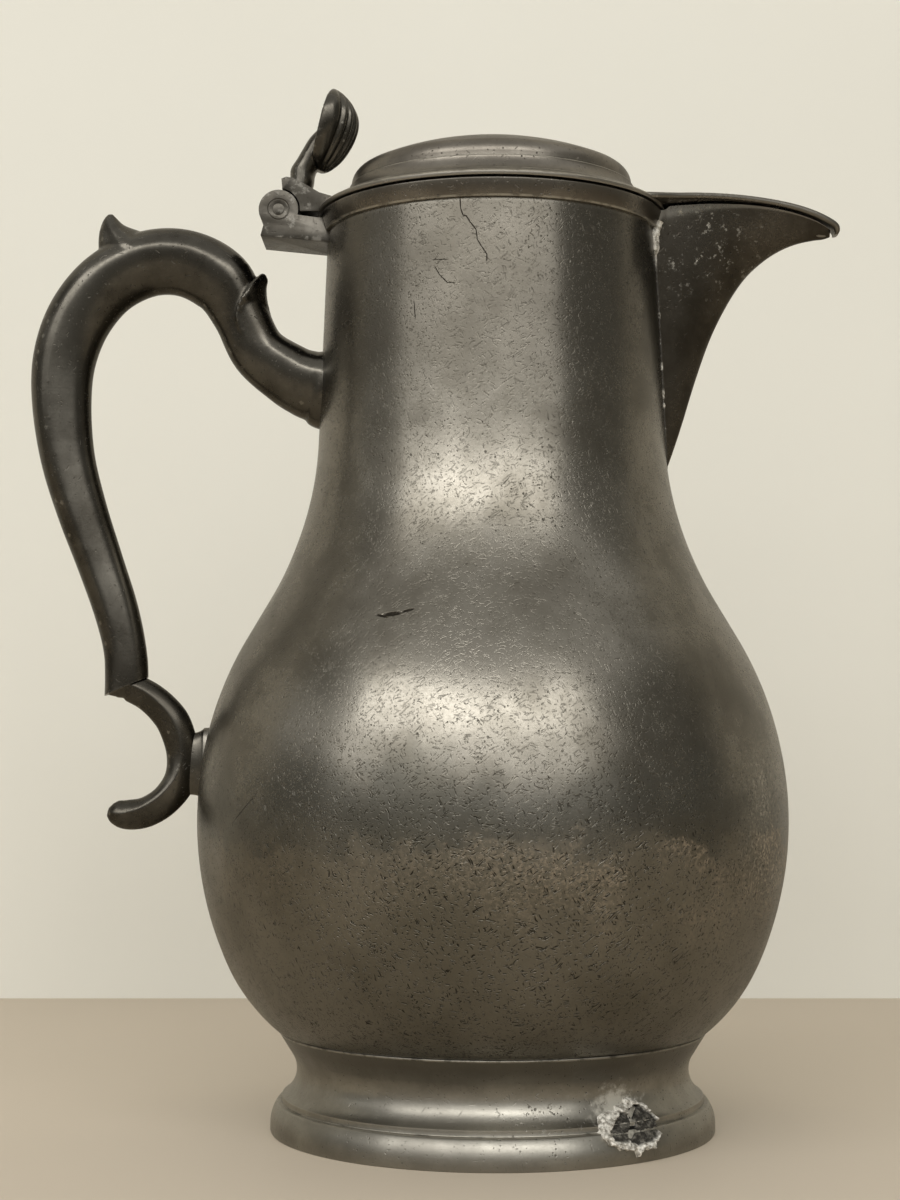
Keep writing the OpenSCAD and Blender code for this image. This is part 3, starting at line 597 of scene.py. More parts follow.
def pushed(tree, mesh, lift):
    """Mesh with every point moved along its normal."""
    normal = add(tree, "GeometryNodeInputNormal")
    away = add(tree, VECTOR, {0: normal, "Scale": lift}, operation="SCALE")
    return add(tree, "GeometryNodeSetPosition", {"Geometry": mesh, "Offset": away})


def end_tree(tree, mesh, finish):
    """Tree that ends in real geometry with a finish."""
    real = add(tree, "GeometryNodeRealizeInstances", (mesh,))
    done = add(tree, "GeometryNodeSetMaterial", {"Geometry": real, "Material": finish})
    add(tree, "NodeGroupOutput", (done,))
    return tree


def set_inputs(change, values):
    """Sets a node modifier's inputs by their sockets' identifiers."""
    for item in change.node_group.interface.items_tree:
        if item.in_out == "INPUT" and item.name in values:
            change[item.identifier] = values[item.name]


print("tree helpers ready")

# %% Lathe tree
def lathe_tree():
    """Grid rolled round the axis, with each row placed by a point of the outline, and made uneven."""
    tree, given = new_tree("turned on a lathe", "Outline", {
        "Segments": "Int", "Points": "Int", "Unevenness": "Float", "Patch Size": "Float",
        "Finish": "Material"})
    columns = add(tree, MATH, (given["Segments"], 1), operation="ADD")
    grid = add(tree, "GeometryNodeMeshGrid", {"Size X": 1.0, "Size Y": 1.0, "Vertices X": columns,
                                              "Vertices Y": given["Points"]})
    across, along, _ = add(tree, SPLIT, (grid.outputs["UV Map"],)).outputs
    last_row = add(tree, MATH, (given["Points"], 1), operation="SUBTRACT")
    row = add(tree, MATH, (along, last_row), operation="MULTIPLY")
    row = add(tree, MATH, (row,), operation="ROUND")
    place = add(tree, "GeometryNodeInputPosition")
    point = add(tree, "GeometryNodeSampleIndex", {"Geometry": given["Outline"], "Value": place,
                                                  "Index": row}, data_type="FLOAT_VECTOR")
    radius, _, up = add(tree, SPLIT, (point,)).outputs
    turn = add(tree, MATH, (across, 2 * math.pi), operation="MULTIPLY")
    sides = []
    for operation in ("COSINE", "SINE"):
        share = add(tree, MATH, (turn,), operation=operation)
        sides.append(add(tree, MATH, (radius, share), operation="MULTIPLY"))
    rolled = add(tree, COMBINE, (*sides, up))
    ring = add(tree, "GeometryNodeSetPosition", {"Geometry": grid, "Position": rolled})
    whole = add(tree, "GeometryNodeMergeByDistance", {"Geometry": ring, "Distance": WELD})
    scale = add(tree, MATH, (1.0, given["Patch Size"]), operation="DIVIDE")
    waver = add(tree, NOISE, {"Vector": place, "Scale": scale, "Detail": 1.0})
    lift = add(tree, MATH, (waver, 0.5), operation="SUBTRACT")
    lift = add(tree, MATH, (lift, given["Unevenness"]), operation="MULTIPLY")
    return end_tree(tree, pushed(tree, whole, lift), given["Finish"])


LATHE = lathe_tree()


def turned(name, outline_mm, material, uneven_mm, patch_mm, segments=240):
    """Piece turned from a closed outline of (radius, height) points."""
    piece = put(name, mesh_of(name, [(r, 0, z) for r, z in outline_mm]))
    change = piece.modifiers.new("lathe", "NODES")
    change.node_group = LATHE
    set_inputs(change, {"Segments": segments, "Points": len(outline_mm), "Unevenness": uneven_mm * MM,
                        "Patch Size": patch_mm * MM, "Finish": material})
    return settle(piece)


print("lathe tree:", len(LATHE.nodes), "nodes")

# %% [markdown]
# ## The body
#
# The pear is a row of arcs that run into each other: a tight one under the belly, a wide one round
# it, a straight shoulder, a hollow one, and the tapering neck. It was cast as two halves, but the
# joint is skimmed away, so one mesh stands for both. The wall is real, because the lid opens.
# A slot through the neck lets the drink into the spout.

# %% Body outline
BELLY_R, BELLY_Z = ends("body_upper", X)[1], ends("body_lower", Z)[1]
BELLY_ROUND, UNDER_ROUND, UNDER_DEG = 107.0, 55.0, 24.0
SHOULDER_DEG, SHOULDER_LEN, SHOULDER_ROUND = 30.5, 14.0, 106.0
NECK_DEG, WALL = 2.3, 2.4


def polar(degrees):
    """Unit vector in a direction."""
    return np.array([math.cos(math.radians(degrees)), math.sin(math.radians(degrees))])


BELLY_C = np.array([BELLY_R - BELLY_ROUND, BELLY_Z])
UNDER_C = BELLY_C + (BELLY_ROUND - UNDER_ROUND) * polar(-UNDER_DEG)
SLOPE_UP = polar(90 + SHOULDER_DEG)
SHOULDER_C = BELLY_C + (BELLY_ROUND + SHOULDER_ROUND) * polar(SHOULDER_DEG) + SHOULDER_LEN * SLOPE_UP


def arc(centre, radius, start, end, step):
    """Points of an arc, about a step apart."""
    count = max(2, round(abs(math.radians(end - start)) * radius / step))
    return [tuple(np.array(centre) + radius * polar(start + (end - start) * i / count))
            for i in range(count + 1)]


def line(a, b, step):
    """Points of a straight line, about a step apart."""
    a, b = np.array(a, float), np.array(b, float)
    count = max(1, round(np.linalg.norm(b - a) / step))
    return [tuple(a + (b - a) * i / count) for i in range(count + 1)]


def body_wall(inset, step):
    """Outline of the body from its seam to the neck's end, moved inward by inset."""
    first = math.degrees(math.asin((SEAM_Z - UNDER_C[1]) / (UNDER_ROUND - inset)))
    path = arc(UNDER_C, UNDER_ROUND - inset, first, -UNDER_DEG, step)
    path += arc(BELLY_C, BELLY_ROUND - inset, -UNDER_DEG, SHOULDER_DEG, step)
    path += arc(SHOULDER_C, SHOULDER_ROUND + inset, 180 + SHOULDER_DEG, 180 + NECK_DEG, step)
    r, z = path[-1]
    path += line(path[-1], (r - (NECK_TOP - z) * math.tan(math.radians(NECK_DEG)), NECK_TOP), step)
    return [p for i, p in enumerate(path) if i == 0 or math.dist(p, path[i - 1]) > 0.05]


OUTER = body_wall(0.0, 1.25)
OUTER_R, OUTER_Z = np.array(OUTER).T


def body_r(z):
    """Outer radius of the body at a height."""
    return float(np.interp(z, OUTER_Z, OUTER_R))


print("body:", len(OUTER), "outline points, neck end radius", round(OUTER[-1][0], 2))

# %% Body piece
# Slot behind the spout: half width and height at its top and at its foot, and its two ends in X
SLOT_TOP, SLOT_FOOT, SLOT_ENDS = (9.5, RIM_Z + 3.6), (2.9, 222.4), (38.0, 62.0)


def slot_cutter():
    """Wedge behind the spout, through neck and collar."""
    (wide, high), (narrow, low) = SLOT_TOP, SLOT_FOOT
    side = [(-wide, high), (wide, high), (narrow, low), (-narrow, low)]
    points = [(x, y, z) for x in SLOT_ENDS for y, z in side]
    faces = [(0, 1, 2, 3), (7, 6, 5, 4)]
    faces += [(i, i + 4, (i + 1) % 4 + 4, (i + 1) % 4) for i in range(4)]
    return from_lists("slot_cutter", points, faces)


def body_piece():
    """Both walls of the body in one outline, with the slot cut out."""
    inner = body_wall(WALL, 4.0)
    lip = [(OUTER[0][0] - 0.7, SEAM_Z), (OUTER[0][0] - 0.1, SEAM_Z + 0.12)]
    outline = lip + [p for p in OUTER if p[1] > SEAM_Z + 0.6] + inner[::-1]
    piece = turned("body", outline + outline[:1], BODY, segments=300, uneven_mm=0.34, patch_mm=26.0)
    return cut_away(piece, slot_cutter())


seat(body_piece(), "vessel", "worn_pewter", BODY, "body_lower", "body_upper")

# %% [markdown]
# ## Foot, collar and lid
#
# The foot is a spool: a band at the table, a crisp little step, and a hollow waist that rises to
# the body's seam. The collar is a flared strap round the mouth. The lid steps up from a flat
# flange through a hollow moulding and a fine groove to a low dome. On all of them the edges are
# broken by a fraction of a millimetre, since an edge that is dead sharp never catches light.

# %% Foot piece
WAIST_ROUND, WAIST_IN, WAIST_Z = 9.0, 5.5, 18.5
BAND_R, BAND_ROUND, BAND_FLAT, FOOT_WALL = ends("foot", X)[1], 10.7, 2.5, 3.0
BAND_C = (BAND_R - BAND_ROUND, BAND_FLAT)


def foot_face():
    """Outer face of the foot, from its seam down to the table."""
    seam_r = OUTER[0][0]
    top = (seam_r - 0.15, SEAM_Z - 0.35)
    waist = np.array([seam_r - WAIST_IN + WAIST_ROUND, WAIST_Z])
    reach = np.array(top) - waist
    lean = math.degrees(math.atan2(reach[1], reach[0]) + math.acos(WAIST_ROUND / np.linalg.norm(reach)))
    face = [(seam_r - 0.8, SEAM_Z), (seam_r - 0.3, SEAM_Z - 0.08), top]
    face += arc(waist, WAIST_ROUND, lean, 239.0, 0.5)
    face += [(63.88, 10.2), (63.9, 9.3), (64.0, 9.05), (64.3, 8.96), (64.95, 8.94), (65.2, 8.86)]
    face += arc(BAND_C, BAND_ROUND, 36.0, 0.0, 0.7)
    return face + [(BAND_R, 0.5), (BAND_R - 0.15, 0.12), (BAND_R - 0.5, 0.0)]


FOOT_R, FOOT_Z = np.array(foot_face()[::-1]).T


def foot_piece():
    """Outer face and hollow inside of the foot, with the ledges for the disc and the body."""
    disc_r, disc_z = ends("base_disc", X)[1], ends("base_disc", Z)[0]
    bore, ledge = BAND_R - FOOT_WALL, disc_r - 3.0
    inside = [(bore + 0.2, 0.0), (bore, 0.2), (bore, BAND_FLAT)]
    inside += arc(BAND_C, BAND_ROUND - FOOT_WALL, 6.0, 28.0, 1.5) + [(60.9, 6.2), (60.9, STEP_Z + 0.2)]
    inside += arc((68.5, WAIST_Z), WAIST_ROUND + FOOT_WALL, 231.0, 160.0, 2.0)
    inside += [(ledge, 25.2), (ledge, disc_z), (disc_r, disc_z), (disc_r, SEAM_Z)]
    outline = foot_face() + inside
    return turned("foot_turned", outline + outline[:1], FOOT, uneven_mm=0.18, patch_mm=22.0)


seat(foot_piece(), "vessel", "worn_pewter", FOOT, "foot")

# %% Collar and lid pieces
def collar_piece():
    """Flared strap round the mouth, with the slot cut out."""
    bore = body_wall(WALL, 4.0)[-1][0]
    outline = [(bore, NECK_TOP), (51.7, NECK_TOP), (51.95, NECK_TOP + 0.08), (52.1, NECK_TOP + 0.35),
               (52.75, NECK_TOP + 2.6), (53.4, RIM_Z - 0.6), (53.42, RIM_Z - 0.25), (53.2, RIM_Z),
               (bore + 0.4, RIM_Z), (bore, RIM_Z - 0.3)]
    piece = turned("rim_collar_turned", outline + outline[:1], SKIMMED, uneven_mm=0.08, patch_mm=16.0)
    return cut_away(piece, slot_cutter())


LID_R, LID_WALL = ends("lid", X)[1], 2.0
DOME_R, DOME_Z, DOME_ROUND, DOME_EDGE = 38.6, LID_Z + 9.7, 100.0, 5.0


def lid_piece():
    """Dome, groove, hollow moulding and flange, then the underside back to the axis."""
    crown_z = DOME_Z - math.sqrt((DOME_ROUND - DOME_EDGE) ** 2 - DOME_R ** 2)
    tilt = math.degrees(math.atan2(DOME_Z - crown_z, DOME_R))
    outline = arc((0, crown_z), DOME_ROUND, 90.0, tilt, 1.4)
    outline += arc((DOME_R, DOME_Z), DOME_EDGE, tilt, 0.0, 0.5)[1:]
    outline += [(43.55, 288.95), (43.6, 288.62), (43.85, 288.5), (44.2, 288.42), (44.42, 288.15)]
    outline += arc((51.2, 289.4), 6.9, 190.6, 254.0, 0.5)
    outline += [(49.75, 282.98), (50.05, 283.1), (50.3, 282.95), (52.2, 282.1), (LID_R - 0.3, LID_Z + 1.4),
                (LID_R, LID_Z + 1.05), (LID_R, LID_Z + 0.35), (LID_R - 0.2, LID_Z + 0.05),
                (LID_R - 0.6, LID_Z), (42.0, LID_Z), (41.6, LID_Z + 0.4), (41.6, DOME_Z)]
    outline += arc((DOME_R, DOME_Z), DOME_EDGE - LID_WALL, 15.0, tilt, 0.8)
    outline += arc((0, crown_z), DOME_ROUND - LID_WALL, tilt, 90.0, 3.0)[1:]
    outline[0] = (0.0, outline[0][1])
    outline[-1] = (0.0, outline[-1][1])
    return turned("lid_turned", outline, LID, uneven_mm=0.14, patch_mm=18.0)


seat(collar_piece(), "vessel", "worn_pewter", SKIMMED, "rim_collar")
seat(lid_piece(), "lid", "worn_pewter", LID, "lid")

# %% [markdown]
# ## The spout and the lid's beak
#
# The spout is a folded sheet: a deep V at the neck that closes to a narrow trough at the tip. The
# beak is a thin plate of the lid that covers it and hooks over its end. A loft fits both. Each long
# line of the spout starts where it meets the round neck, so the joint follows the neck's curve and
# nothing has to be cut.

# %% Smooth rows and skins
def smooth_rows(rows, steps):
    """Smooth curve through rows of numbers, with an equal number of steps between rows."""
    rows = np.array(rows, float)
    padded = np.vstack([2 * rows[0] - rows[1], rows, 2 * rows[-1] - rows[-2]])
    result = []
    for i in range(1, len(padded) - 2):
        a, b, c, d = padded[i - 1:i + 3]
        for t in np.arange(steps) / steps:
            result.append(0.5 * (2 * b + (c - a) * t + (2 * a - 5 * b + 4 * c - d) * t ** 2
                                 + (3 * b - a - 3 * c + d) * t ** 3))
    return np.array(result + [rows[-1]])


def skin(name, rings, sharp_deg=35):
    """Closed skin over rings that all have the same number of points, with flat ends."""
    count = len(rings[0])
    points = [tuple(p) for ring in rings for p in ring]
    faces = [(j * count + i, j * count + (i + 1) % count, (j + 1) * count + (i + 1) % count,
              (j + 1) * count + i) for j in range(len(rings) - 1) for i in range(count)]
    faces += [tuple(range(count))[::-1], tuple(range(len(points) - count, len(points)))]
    return from_lists(name, points, faces, sharp_deg)


print("loft helpers ready")

# %% Spout piece
SPOUT_ROOT, SPOUT_REACH, SPOUT_HALF, SPOUT_DROP = 52.0, ends("spout", X)[1], 13.5, 77.0
SPOUT_WALL, SPOUT_ACROSS, SPOUT_ALONG, FLANGE_R = 1.8, 57, 80, LID_R + 0.6
COLLAR_R, COLLAR_FLARE, COLLAR_H = 52, 1.6, RIM_Z - NECK_TOP
# Shares of reach, of drop for rim and keel, of half width, and the section's roundness
SPOUT_RUN = smooth_rows([
    [-0.12, 0.005, 1.290, 1.12, 0.80], [0.00, 0.010, 1.085, 1.00, 0.80],
    [0.06, 0.017, 0.985, 0.97, 0.80], [0.13, 0.022, 0.842, 0.94, 0.78],
    [0.21, 0.027, 0.662, 0.90, 0.75], [0.30, 0.031, 0.488, 0.85, 0.70],
    [0.40, 0.033, 0.348, 0.78, 0.64], [0.50, 0.033, 0.244, 0.70, 0.58],
    [0.60, 0.029, 0.177, 0.62, 0.54], [0.70, 0.021, 0.130, 0.53, 0.50],
    [0.80, 0.008, 0.100, 0.43, 0.50], [0.90, -0.012, 0.084, 0.32, 0.50],
    [0.96, -0.030, 0.079, 0.23, 0.50], [1.00, -0.044, 0.070, 0.12, 0.50]], 6)
SPOUT_S = np.linspace(0, 1, len(SPOUT_RUN))


def spout_point(t, h, thick):
    """Point of the spout's wall; t runs to the tip, h from keel (0) to rim (1), signed by side."""
    reach, rim, keel, half, power = [np.interp(t, SPOUT_S, SPOUT_RUN[:, k]) for k in range(5)]
    x = SPOUT_ROOT + (SPOUT_REACH - SPOUT_ROOT) * reach
    high, low, half = RIM_Z + SPOUT_DROP * rim, RIM_Z - SPOUT_DROP * keel, SPOUT_HALF * half
    if thick:
        low += min(SPOUT_WALL * max(1, 0.8 * (high - low) / half), 0.6 * (high - low))
        half -= min(SPOUT_WALL, 0.45 * half)
    side = math.copysign(half * abs(h) ** power, h)
    below_flange = RIM_Z - 0.05 + max(0.0, math.hypot(x, side) - FLANGE_R)
    return np.array([x, side, min(low + (high - low) * abs(h), below_flange)])


def neck_outside(p):
    """How far a point lies outside the neck and collar."""
    x, y, z = p
    r = body_r(z) if z < NECK_TOP else COLLAR_R + (z - NECK_TOP) * COLLAR_FLARE / COLLAR_H
    return math.hypot(x, y) - r


def spout_start(h, thick, outside=-0.5):
    """Place on one long line of the spout where it meets the neck, just inside its face."""
    low, high = 0.0, 0.6
    for _ in range(40):
        middle = (low + high) / 2
        if neck_outside(spout_point(middle, h, thick)) < outside:
            low = middle
        else:
            high = middle
    return high


def spout_piece():
    """Skin round both faces of the spout, and the line where its outer face meets the neck."""
    levels = np.linspace(-1, 1, SPOUT_ACROSS)
    levels = np.sign(levels) * np.abs(levels) ** 1.35
    starts = {(h, thick): spout_start(h, thick) for h in levels for thick in (0, 1)}
    rings = []
    for s in np.linspace(0, 1, SPOUT_ALONG):
        outer = [spout_point(starts[h, 0] + (1 - starts[h, 0]) * s, h, 0) for h in levels]
        inner = [spout_point(starts[h, 1] + (1 - starts[h, 1]) * s, h, 1) for h in levels[::-1]]
        rings.append(outer + inner)
    return skin("spout_shell", rings), [spout_point(spout_start(h, 0, 0.15), h, 0) for h in levels]


spout, spout_joint = spout_piece()
seat(spout, "vessel", "worn_pewter", SPOUT, "spout")

# %% Beak piece
BEAK_HALF, BEAK_T, BEAK_LIFT = 25.0, 1.6, 0.55
# Shares of reach, of drop, of half width, then the lean of the plate's end and its thickness
BEAK = smooth_rows([
    [-0.16, 0.004, 1.06, 0.00, 1.0], [-0.07, 0.008, 1.00, 0.00, 1.0], [0.06, 0.017, 0.86, 0.00, 1.0],
    [0.20, 0.027, 0.74, 0.00, 1.0], [0.35, 0.033, 0.62, 0.00, 1.0], [0.50, 0.033, 0.51, 0.02, 1.0],
    [0.65, 0.026, 0.41, 0.05, 1.0], [0.78, 0.012, 0.33, 0.12, 1.05], [0.88, -0.007, 0.27, 0.25, 1.1],
    [0.95, -0.026, 0.22, 0.45, 1.15], [1.00, -0.043, 0.17, 0.75, 1.15], [1.012, -0.058, 0.13, 1.0, 1.0],
    [1.012, -0.072, 0.09, 1.1, 0.7]], 6)


def beak_piece():
    """Plate with rounded edges and a slight crown, bent down at its end."""
    rings = []
    for reach, drop, half, lean, thick in BEAK:
        x = SPOUT_ROOT + (SPOUT_REACH - SPOUT_ROOT) * reach + 0.5 * lean
        z = RIM_Z + SPOUT_DROP * drop + BEAK_LIFT
        half, thick, tilt = BEAK_HALF * half, BEAK_T * thick, math.radians(90 - 80 * min(lean, 1))
        up = np.array([math.cos(tilt), 0, math.sin(tilt)]) * thick
        edge = 1 - 0.3 * thick / half
        below = [(a, 0.0) for a in np.linspace(-edge, edge, 15)]
        above = [(a, 1 + 0.2 * (1 - a * a)) for a in np.linspace(edge, -edge, 15)]
        section = below + [(0.5 + edge / 2, 0.14), (1, 0.5), (0.5 + edge / 2, 0.86)]
        section += above + [(-0.5 - edge / 2, 0.86), (-1, 0.5), (-0.5 - edge / 2, 0.14)]
        rings.append([np.array([x, half * a, z]) + h * up for a, h in section])
    return skin("lid_beak_plate", rings, sharp_deg=50)


seat(beak_piece(), "lid", "worn_pewter", SPOUT, "lid_beak")

# %% [markdown]
# ## The solder bead on the spout
#
# Where spout meets neck, the solder stands as a thin line that swells to a chalky crust under the
# rim. It follows a path and is uneven all along it, so a node tree sweeps a small circle down the
# joint, thicker above a chosen height and lumpy everywhere.

# %% Bead tree and piece
def bead_tree():
    """Small circle swept along a path, with a crust above a height."""
    tree, given = new_tree("bead along a joint", "Path", {
        "Radius": "Float", "Crust Radius": "Float", "Crust Above": "Float", "Lumps": "Float",
        "Finish": "Material"})
    place = add(tree, "GeometryNodeInputPosition")
    curve = add(tree, "GeometryNodeMeshToCurve", {"Mesh": given["Path"]})
    even = add(tree, "GeometryNodeResampleCurve", {"Curve": curve, "Length": 0.5 * MM}, mode="LENGTH")
    level = add(tree, SPLIT, (place,)).outputs[2]
    start = add(tree, MATH, (given["Crust Above"], 3 * MM), operation="SUBTRACT")
    swell = add(tree, RANGE, (level, start, given["Crust Above"], given["Radius"], given["Crust Radius"]))
    bumps = add(tree, NOISE, {"Vector": place, "Scale": 1 / (2.4 * MM), "Detail": 2.0})
    uneven = add(tree, MATH, (bumps, 1.6, 0.2), operation="MULTIPLY_ADD")
    thick = add(tree, MATH, (swell, uneven), operation="MULTIPLY")
    circle = add(tree, "GeometryNodeCurvePrimitiveCircle", {"Resolution": 10, "Radius": 1.0})
    tube = add(tree, "GeometryNodeCurveToMesh", {"Curve": even, "Profile Curve": circle,
                                                 "Scale": thick, "Fill Caps": True})
    crumbs = add(tree, NOISE, {"Vector": place, "Scale": 1 / (0.9 * MM), "Detail": 2.0})
    lift = add(tree, MATH, (crumbs, 0.5), operation="SUBTRACT")
    lift = add(tree, MATH, (lift, given["Lumps"]), operation="MULTIPLY")
    return end_tree(tree, pushed(tree, tube, lift), given["Finish"])


def bead_piece(path_mm):
    """Bead of solder along a path."""
    edges = [(i, i + 1) for i in range(len(path_mm) - 1)]
    piece = put("spout_bead", mesh_of("spout_bead", path_mm, edges))
    change = piece.modifiers.new("bead", "NODES")
    change.node_group = bead_tree()
    set_inputs(change, {"Radius": 0.42 * MM, "Crust Radius": 1.6 * MM, "Crust Above": 268 * MM,
                        "Lumps": 0.5 * MM, "Finish": SOLDER})
    return settle(piece, sharp_deg=60)


seat(bead_piece([p for p in spout_joint if p[2] < RIM_Z - 1.0]), "vessel", "solder_patch", SOLDER)

# %% [markdown]
# ## The handle
#
# The handle is a casting: an S that springs from the neck, rises in a leaf with a curled tip, turns
# over and tapers to a heel. A ridge runs along each side. The main sweep and the two leaf tips are
# lofted from points, then fused by a voxel remesh and relaxed a little, because a casting has no
# crisp seams where its forms meet. Last, a plane trims the heel where the lower scroll begins.

# %% Sweep helpers
HANDLE_AT, HANDLE_SIZE, HANDLE_T, HANDLE_SLIM = (-52.03, 130.0), (-91.06, 146.0), 20.0, 0.86


def on_handle(reach, height):
    """X and Z of a place given as shares of the handle's reach and height."""
    return np.array([HANDLE_AT[0] + HANDLE_SIZE[0] * reach, HANDLE_AT[1] + HANDLE_SIZE[1] * height])


def ridged_section(ridge, bend_deg, count):
    """Closed section with a ridge on each side: outward shares from 1 to -1, and side shares."""
    bend = math.radians(bend_deg)
    up, down = np.linspace(0, 1, count), np.linspace(1, 0, count)[1:]
    half = []
    for span, turns in ((1 - ridge, up), (-1 - ridge, down)):
        for t in turns:
            rise = (math.cos(bend * t) - math.cos(bend)) / (1 - math.cos(bend))
            half.append((ridge + span * rise, math.sin(bend * t) / math.sin(bend)))
    return half + [(a, -b) for a, b in half[-2:0:-1]]


def swept(rows, turn, ridges, bend_deg, count=14):
    """Rings square to a curve of rows of reach, height and thickness shares."""
    middle = np.array([on_handle(r[0], r[1]) for r in rows])
    ahead = np.gradient(middle, axis=0)
    ahead /= np.linalg.norm(ahead, axis=1)[:, None]
    rings = []
    for here, along, row, ridge in zip(middle, ahead, rows, ridges):
        out = turn * np.array([along[1], -along[0]])
        half = HANDLE_T * row[2] / 2
        rings.append([(here[0] + half * a * out[0], turn * half * HANDLE_SLIM * b,
                       here[1] + half * a * out[1]) for a, b in ridged_section(ridge, bend_deg, count)])
    return rings


def to_body(ring, depth):
    """Moves a ring's points along X to a given depth inside the body's face."""
    return [(-math.sqrt(body_r(z) ** 2 - y ** 2) + depth, y, z) for _, y, z in ring]


def leaf(rows):
    """Curled leaf tip: each row has the left, right and ridge points in X and Z, and a half width."""
    flat = smooth_rows([[*left, *right, *ridge, half] for left, right, ridge, half in rows], 5)
    rings = []
    for left_x, left_z, right_x, right_z, ridge_x, ridge_z, half in flat:
        corner = [np.array(p) for p in ((left_x, 0, left_z), (ridge_x, -half, ridge_z),
                                        (right_x, 0, right_z), (ridge_x, half, ridge_z))]
        ring = smooth_rows([corner[k % 4] for k in range(-1, 6)], 5)
        rings.append(ring[5:25])
    return rings


print("handle root at", on_handle(0, 0.66))

# %% Castings
CAST_SHARP_DEG = 60


def fused(name, parts, voxel_mm, relax):
    """One skin over several closed forms that run into each other."""
    work = bmesh.new()
    for part in parts:
        work.from_mesh(part.data)
        bpy.data.objects.remove(part)
    mesh = bpy.data.meshes.new(name)
    work.to_mesh(mesh)
    work.free()
    piece = put(name, mesh)
    skin_over = piece.modifiers.new("fuse", "REMESH")
    skin_over.mode = "VOXEL"
    skin_over.voxel_size = voxel_mm * MM
    soften = piece.modifiers.new("relax", "SMOOTH")
    soften.factor = 0.5
    soften.iterations = relax
    return settle(piece, CAST_SHARP_DEG)


def trimmed(piece, point_mm, normal):
    """Cuts away what lies beyond a plane and closes the cut."""
    work = bmesh.new()
    work.from_mesh(piece.data)
    everything = work.verts[:] + work.edges[:] + work.faces[:]
    cut = bmesh.ops.bisect_plane(work, geom=everything, plane_co=[c * MM for c in point_mm],
                                 plane_no=normal, clear_outer=True)
    border = [e for e in cut["geom_cut"] if isinstance(e, bmesh.types.BMEdge)]
    bmesh.ops.edgeloop_fill(work, edges=border)
    work.to_mesh(piece.data)
    work.free()
    tidy(piece.data, CAST_SHARP_DEG)
    return piece


print("castings keep edges over", CAST_SHARP_DEG, "degrees sharp")

# %% Handle piece
# Shares of the handle's reach, height and thickness
HANDLE = smooth_rows([
    [-0.035, 0.655, 1.27], [-0.005, 0.658, 1.24], [0.022, 0.664, 1.13], [0.060, 0.671, 1.06],
    [0.120, 0.690, 0.98], [0.224, 0.740, 0.88], [0.288, 0.819, 0.87], [0.354, 0.889, 1.03],
    [0.471, 0.929, 1.045], [0.604, 0.929, 1.035], [0.737, 0.888, 1.03], [0.834, 0.815, 1.02],
    [0.886, 0.726, 0.98], [0.895, 0.630, 0.92], [0.873, 0.514, 0.84], [0.824, 0.404, 0.78],
    [0.758, 0.288, 0.72], [0.705, 0.192, 0.69], [0.673, 0.110, 0.66], [0.665, 0.045, 0.67],
    [0.672, -0.030, 0.63]], 8)
# Leaf tips: left, right and ridge points, then half width, in mm
TOP_LEAF = [((-118.0, 263.5), (-103.0, 267.5), (-110.5, 263.5), 5.5),
            ((-121.9, 267.2), (-101.0, 272.0), (-111.0, 267.2), 8.3),
            ((-122.6, 269.6), (-104.5, 274.4), (-112.0, 269.9), 8.5),
            ((-122.8, 272.8), (-110.2, 276.2), (-114.6, 272.9), 6.4),
            ((-122.4, 276.2), (-114.6, 277.9), (-117.2, 276.2), 4.2),
            ((-121.3, 279.4), (-117.0, 280.1), (-118.6, 279.2), 2.2),
            ((-119.9, 281.3), (-118.3, 281.5), (-118.9, 281.3), 0.7)]
INNER_LEAF = [((-75.0, 236.0), (-66.0, 238.0), (-74.0, 237.0), 6.0),
              ((-76.5, 245.0), (-67.6, 244.5), (-78.4, 246.0), 7.2),
              ((-75.6, 250.5), (-68.4, 248.6), (-78.2, 250.8), 8.0),
              ((-74.6, 253.8), (-69.2, 251.8), (-76.4, 254.2), 8.7),
              ((-73.6, 256.6), (-69.8, 254.6), (-74.7, 257.0), 7.6),
              ((-72.9, 259.3), (-70.0, 257.9), (-73.2, 259.5), 5.4),
              ((-72.6, 261.3), (-69.6, 260.4), (-72.2, 261.3), 3.0),
              ((-72.0, 262.6), (-70.4, 262.5), (-71.4, 262.6), 0.9)]
HEEL_AT, HEEL_DOWN = (-112.3, 0, 134.0), (0.391, 0.0, -0.921)


def handle_piece():
    """Sweep and leaf tips in one casting, trimmed at the heel."""
    rings = swept(HANDLE, turn=1, ridges=[0.30] * len(HANDLE), bend_deg=80.0)
    rings[0] = to_body(rings[0], 0.8)
    parts = [skin("sweep", rings), skin("top", leaf(TOP_LEAF)), skin("inner", leaf(INNER_LEAF))]
    return trimmed(fused("handle_cast", parts, voxel_mm=0.45, relax=6), HEEL_AT, HEEL_DOWN)


seat(handle_piece(), "vessel", "dark_pewter", CAST, "handle")

# %% [markdown]
# ## The lower scroll and its boss
#
# The C-scroll's ridge wanders from the outer side at the heel to the inner side at the tip. Hands
# have rubbed it soft, so the loft is remeshed at a fine grain and relaxed, which rounds the ridge
# but keeps its line. The boss that joins it to the belly spreads at both ends, as solder does when
# it is wiped into a corner.

